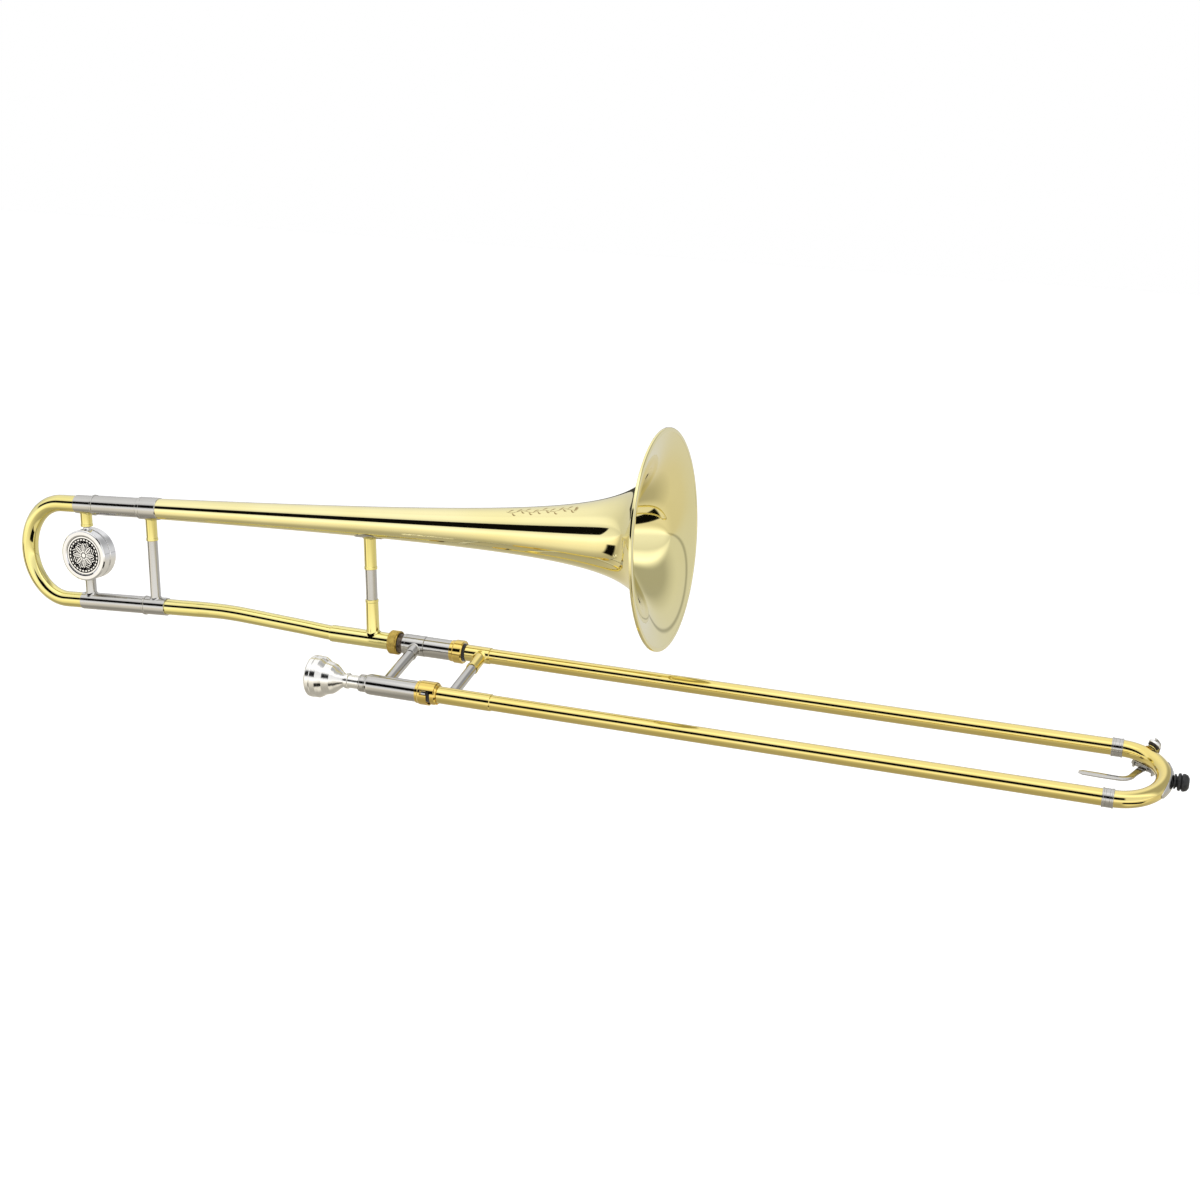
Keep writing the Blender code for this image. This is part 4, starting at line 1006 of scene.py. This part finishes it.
turned("water_key_seat", [(6.4, 5.4, 0.2), (7.2, 4.6, 0.6), (8.2, 3.7, 0.5), (9.4, 3.4, 0.3)],
       [(6.4, 1.4), (9.4, 1.4, 0.2)],
       nipple_frame, "brass", "outer_slide", "water_key_nipple", segments=48)
turned_solid("water_key_pad", [(9.7, 4.8, 0.6), (12.4, 4.8, 0.2)], nipple_frame, "cork",
             "water_key", "water_key_cork", segments=48)
cup_section = rounded([(11.5, 4.8), (11.5, 5.4, 0.2), (13.5, 5.3, 0.5), (14.7, 3.6, 0.8),
                       (15.1, 0.0)], closed=False)
cup_section = [(12.6, 0.0), (12.6, 4.8)] + cup_section
new_piece("water_key_cap", revolve(cup_section, False, 64), nipple_frame, "silver", "water_key",
          "water_key_cup")

saddle_frame = frame_matrix(key_centre - NORMAL * 11.25 * MM, key_along, key_radial)
saddle = new_piece("water_key_bracket", block((6.4, 7.1, 21.0)), saddle_frame, "nickel",
                   "outer_slide", "water_key_saddle")
carve(saddle, block((9.0, 7.1, 17.6), (0, -1.2, 0)), saddle_frame)
edge_mod = saddle.modifiers.new("edges", "BEVEL")
edge_mod.width = 0.35 * MM
edge_mod.segments = 2
turned_solid("water_key_screw",
             [(-12.4, 1.6, 0.2), (-12.3, 2.1, 0.3), (-10.9, 2.1, 0.3), (-10.8, 1.0),
              (11.2, 1.0), (11.7, 0.7, 0.1)],
             hinge_frame, "steel", "outer_slide", "water_key_rod", segments=40)
turned("water_key_barrel",
       [(-8.4, 2.0, 0.2), (-8.3, 2.4, 0.25), (-6.6, 2.4, 0.2), (-6.3, 2.2, 0.1), (1.9, 2.2, 0.1),
        (2.2, 2.4, 0.2), (3.9, 2.4, 0.25), (4.0, 2.0, 0.2)],
       [(-8.4, 1.2), (4.0, 1.2)],
       hinge_frame, "nickel", "water_key", "water_key_hinge_tube", segments=48)


def key_pt(radial, up):
    """A point in the key's cross plane, measured from the crook tube's centre (mm)."""
    return key_centre + (key_radial * radial + NORMAL * up) * MM


def bar(name, path, widths, thicks, sides, mat, body, node):
    """A forged bar with rounded edges, wide along sides, along a smooth path."""
    per = 6
    fine = smooth_path(path, per)
    bm = bmesh.new()
    rings = []
    count = len(path)
    for i, point in enumerate(fine):
        a = min(i // per, count - 2)
        t = i / per - a
        width = 0.5 * (widths[a] * (1 - t) + widths[a + 1] * t)
        thick = 0.5 * (thicks[a] * (1 - t) + thicks[a + 1] * t)
        tangent = (fine[min(i + 1, len(fine) - 1)] - fine[max(i - 1, 0)]).normalized()
        side = (sides[a] * (1 - t) + sides[a + 1] * t)
        side = (side - tangent * side.dot(tangent)).normalized()
        up = tangent.cross(side)
        loop = []
        for angle in circle(24):
            cx, cy = math.cos(angle), math.sin(angle)
            px = math.copysign(abs(cx) ** 0.45, cx) * width
            py = math.copysign(abs(cy) ** 0.75, cy) * thick
            loop.append(bm.verts.new(point / MM + side * px + up * py))
        rings.append(loop)
    skin(bm, rings, capped=True)
    return new_piece(name, bm, Matrix(), mat, body, node, sharp=50)


arm_path = [key_pt(r, u) for r, u in ((1.8, -12), (7.5, -12.0), (11.6, -9.2), (14.2, -5.2),
                                      (15.6, -1.0), (16.5, 3.0), (15.4, 6.3), (11.5, 12.0))]
bar("water_key_arm_bar", arm_path, [8, 6, 4.5, 4.2, 4.2, 4.2, 4.6, 3.0],
    [1.5, 1.5, 1.5, 1.5, 1.5, 1.5, 1.4, 1.0], [key_along] * 8, "nickel", "water_key",
    "water_key_arm")
lever_path = [key_pt(-1.9, -12), key_pt(-5.5, -12)]
lever_path += [slide_pt(x, across, up) for x, across, up in (
    (690.4, -19.5, -11.8), (687.2, -26.0, -11.5), (681.5, -29.6, -11.2), (674.0, -30.4, -10.9),
    (662.0, -30.8, -10.4), (649.0, -31.0, -10.0), (645.6, -31.0, -10.0))]
lever_sides = []
for i in range(len(lever_path)):
    step = lever_path[min(i + 1, len(lever_path) - 1)] - lever_path[max(i - 1, 0)]
    lever_sides.append(NORMAL.cross(step).normalized())
bar("water_key_touch", lever_path, [7.6, 6.6, 5.6, 5.6, 5.8, 6.2, 6.8, 6.4, 3.0],
    [2.4, 2.2, 2.2, 2.2, 2.0, 1.8, 1.7, 1.6, 1.0], lever_sides, "nickel", "water_key",
    "water_key_lever")

SPRING_TURNS, SPRING_STEPS = 4, 24
SPRING_R, SPRING_START, SPRING_PITCH = 1.75, 4.7, 0.85
coil = []
for i in range(SPRING_TURNS * SPRING_STEPS + 1):
    angle = 2 * math.pi * i / SPRING_STEPS
    local = Vector((SPRING_R * math.cos(angle), SPRING_R * math.sin(angle),
                    SPRING_START + SPRING_PITCH * i / SPRING_STEPS))
    coil.append(hinge_frame @ (local * MM))
sweep("water_key_coil", coil, [0.36] * len(coil), 0.3, "steel", "outer_slide",
      "water_key_spring", segments=10, normal=key_along)


# ======== floor, light, camera
FLOOR_Z = -0.95
FLOOR_HALF = 20
floor_mesh = bpy.data.meshes.new("studio_floor")
floor_mesh.from_pydata([(x * FLOOR_HALF, y * FLOOR_HALF, FLOOR_Z)
                        for x, y in ((-1, -1), (1, -1), (1, 1), (-1, 1))], [], [(0, 1, 2, 3)])
floor = bpy.data.objects.new("studio_floor", floor_mesh)
link(floor)
floor.visible_glossy = False
floor_mat, floor_tree, floor_shader = shader_of("pale_floor")
feed(floor_tree, floor_shader, Base_Color=(0.93, 0.93, 0.93, 1.0), Roughness=0.9,
     Emission_Color=(1.0, 1.0, 1.0, 1.0), Emission_Strength=0.30)
floor_mesh.materials.append(floor_mat)


def studio_world():
    """Soft white boxes above and in front with a dark gap between them, dimmer below."""
    world = bpy.data.worlds.new("studio")
    bpy.context.scene.world = world
    world.use_nodes = True
    tree = world.node_tree
    tree.nodes.clear()
    split = add(tree, "SeparateXYZ", Vector=add(tree, "TexCoord").outputs["Generated"])

    def math_node(operation, a, b):
        node = add(tree, "Math")
        node.operation = operation
        for socket, value in zip(node.inputs, (a, b)):
            if isinstance(value, bpy.types.NodeSocket):
                tree.links.new(value, socket)
            else:
                socket.default_value = value
        return node.outputs[0]

    def times(a, b):
        return math_node("MULTIPLY", a, b)

    def but(a):
        """One less a value."""
        return math_node("SUBTRACT", 1.0, a)

    def smooth(value, low, high):
        return map_range(tree, value, 0.0, 1.0, low, high, "SMOOTHSTEP")

    def mix(fac, a, b):
        return add(tree, "Mix", Factor=fac, A=a, B=b).outputs["Result"]

    x, y, z = split.outputs
    front = times(y, -1.0)
    phi = times(math_node("ARCTAN2", z, front), 180 / math.pi)

    def level(value, stops, low, high):
        """Brightness against a value between low and high, by (value, level) stops."""
        norm = math_node("DIVIDE", math_node("SUBTRACT", value, low), high - low)
        colour = ramp(tree, norm, [((pos - low) / (high - low), (0.5 * bright,) * 3)
                                   for pos, bright in stops])
        return times(add(tree, "SeparateColor", Color=colour).outputs[0], 2.0)

    def inside(value, low, high, soft):
        """One between low and high, zero outside, with edges 2 * soft wide."""
        return times(smooth(value, low - soft, low + soft),
                     but(smooth(value, high - soft, high + soft)))

    # in front: a ramp by height angle, each side its own, evened out at the far right below
    turn = times(math_node("ARCTAN2", x, front), 180 / math.pi)
    ahead = mix(smooth(x, -0.50, -0.38), level(phi, LEFT_LEVELS, -180, 180),
                level(phi, RIGHT_LEVELS, -180, 180))
    ahead = mix(times(smooth(x, 0.2, 0.4), but(smooth(phi, -40, -10))), ahead, LOW_RIGHT_LEVEL)
    # behind: a ramp by height, a dimmer top corner and two thin lines
    back = level(z, BACK_LEVELS, -1, 1)
    back = mix(times(smooth(x, 0.0, 0.35), smooth(z, 0.1, 0.5)), back, CORNER_LEVEL)
    side_line = times(smooth(x, -0.05, 0.05), inside(z, -0.045, -0.02, 0.012))
    back = mix(side_line, back, SIDE_LINE_LEVEL)
    rear_line = times(but(smooth(x, -0.05, 0.05)), inside(z, -0.02, 0.13, 0.01))
    rear_line = times(rear_line, but(smooth(front, -0.52, -0.48)))
    back = mix(rear_line, back, REAR_LINE_LEVEL)
    base = mix(smooth(front, -0.10, 0.30), back, ahead)
    # the dark gap between the boxes, and dark patches by turn and height
    slant = times(math_node("SUBTRACT", z, 0.10), 1.4)
    dark = inside(phi, BAND_LOW - 0.5, BAND_HIGH + 0.5, 1.5)
    dark = times(dark, smooth(math_node("ADD", front, slant), 0.51, 0.55))
    dark = times(dark, but(smooth(turn, 20, 26)))
    for turn0, turn1, z0, z1 in PATCHES:
        part = times(inside(turn, turn0, turn1, 2.0), inside(z, z0, z1, 0.02))
        dark = math_node("MAXIMUM", dark, part)
    shade = mix(dark, base, GAP_LEVEL)
    seen = add(tree, "LightPath").outputs["Is Camera Ray"]
    warmth = times(smooth(phi, -175, -150), but(smooth(phi, -25, 0)))
    warmth = times(warmth, but(seen))
    tint = ramp(tree, warmth, [(0.0, (1.0, 1.0, 1.0)), (1.0, LOW_TINT)])
    background = add(tree, "Background", Color=tint, Strength=mix(seen, shade, 1.0))
    add(tree, "OutputWorld", Surface=background.outputs[0])


# brightness by angle round the X axis (0 in front, 90 overhead), and behind by height
LEFT_LEVELS = [(-180, 0.70), (-120, 0.45), (-72, 0.42), (-57, 0.60), (-43, 0.95), (-20, 1.20),
               (-8, 1.35), (8, 1.00), (43, 0.85), (56, 1.10), (78, 1.18), (100, 0.85),
               (122, 0.62), (146, 0.55), (180, 0.70)]
RIGHT_LEVELS = [(-180, 0.70), (-120, 0.45), (-60, 0.45), (-45, 0.52), (-30, 0.62), (-16, 1.05),
                (-7, 1.32), (6, 1.00), (43, 0.85), (54, 1.20), (70, 1.50), (84, 1.25),
                (100, 0.80), (122, 0.62), (146, 0.55), (180, 0.70)]
BACK_LEVELS = [(-1.0, 0.45), (-0.8, 0.50), (-0.5, 0.74), (-0.1, 0.72), (0.25, 0.74),
               (0.6, 0.92), (0.85, 1.10), (1.0, 1.10)]
LOW_RIGHT_LEVEL = 0.86
CORNER_LEVEL = 0.45
SIDE_LINE_LEVEL = 0.42
REAR_LINE_LEVEL = 0.05
GAP_LEVEL = 0.004
LOW_TINT = (1.0, 0.94, 0.80)
BAND_LOW = 11.0
BAND_HIGH = 40.0
# dark patches: from turn to turn round Z (degrees), from height to height
PATCHES = [(-78, -64, -0.50, -0.21), (22, 72, -0.66, -0.37)]
studio_world()

# the mirror-like metals are lit by the world; this lamp only helps the matt pieces
soft_box = bpy.data.lights.new("soft_box", "AREA")
soft_box.shape = "RECTANGLE"
soft_box.size = 3.0
soft_box.size_y = 2.0
soft_box.energy = 20.0
lamp = bpy.data.objects.new("soft_box", soft_box)
lamp.matrix_world = Matrix.Translation((0.3, -0.6, 2.6))
lamp.visible_glossy = False
link(lamp)

# the camera at the photo's angle: its place (m), its right, up and backward directions
CAMERA_AT = (0.7238, -1.5559, 0.4865)
CAMERA_AXES = ((0.94316, 0.32884, 0.04802), (-0.12523, 0.21786, 0.96791),
               (0.30783, -0.91891, 0.24666))
camera = bpy.data.objects.new("camera", bpy.data.cameras.new("camera"))
camera.data.lens = 55.08
camera.data.sensor_width = 36.0
camera.data.clip_end = 60.0
camera.matrix_world = (Matrix.Translation(CAMERA_AT)
                       @ Matrix(CAMERA_AXES).transposed().to_4x4())
link(camera)
bpy.context.scene.camera = camera
bpy.context.scene.view_settings.view_transform = "Standard"
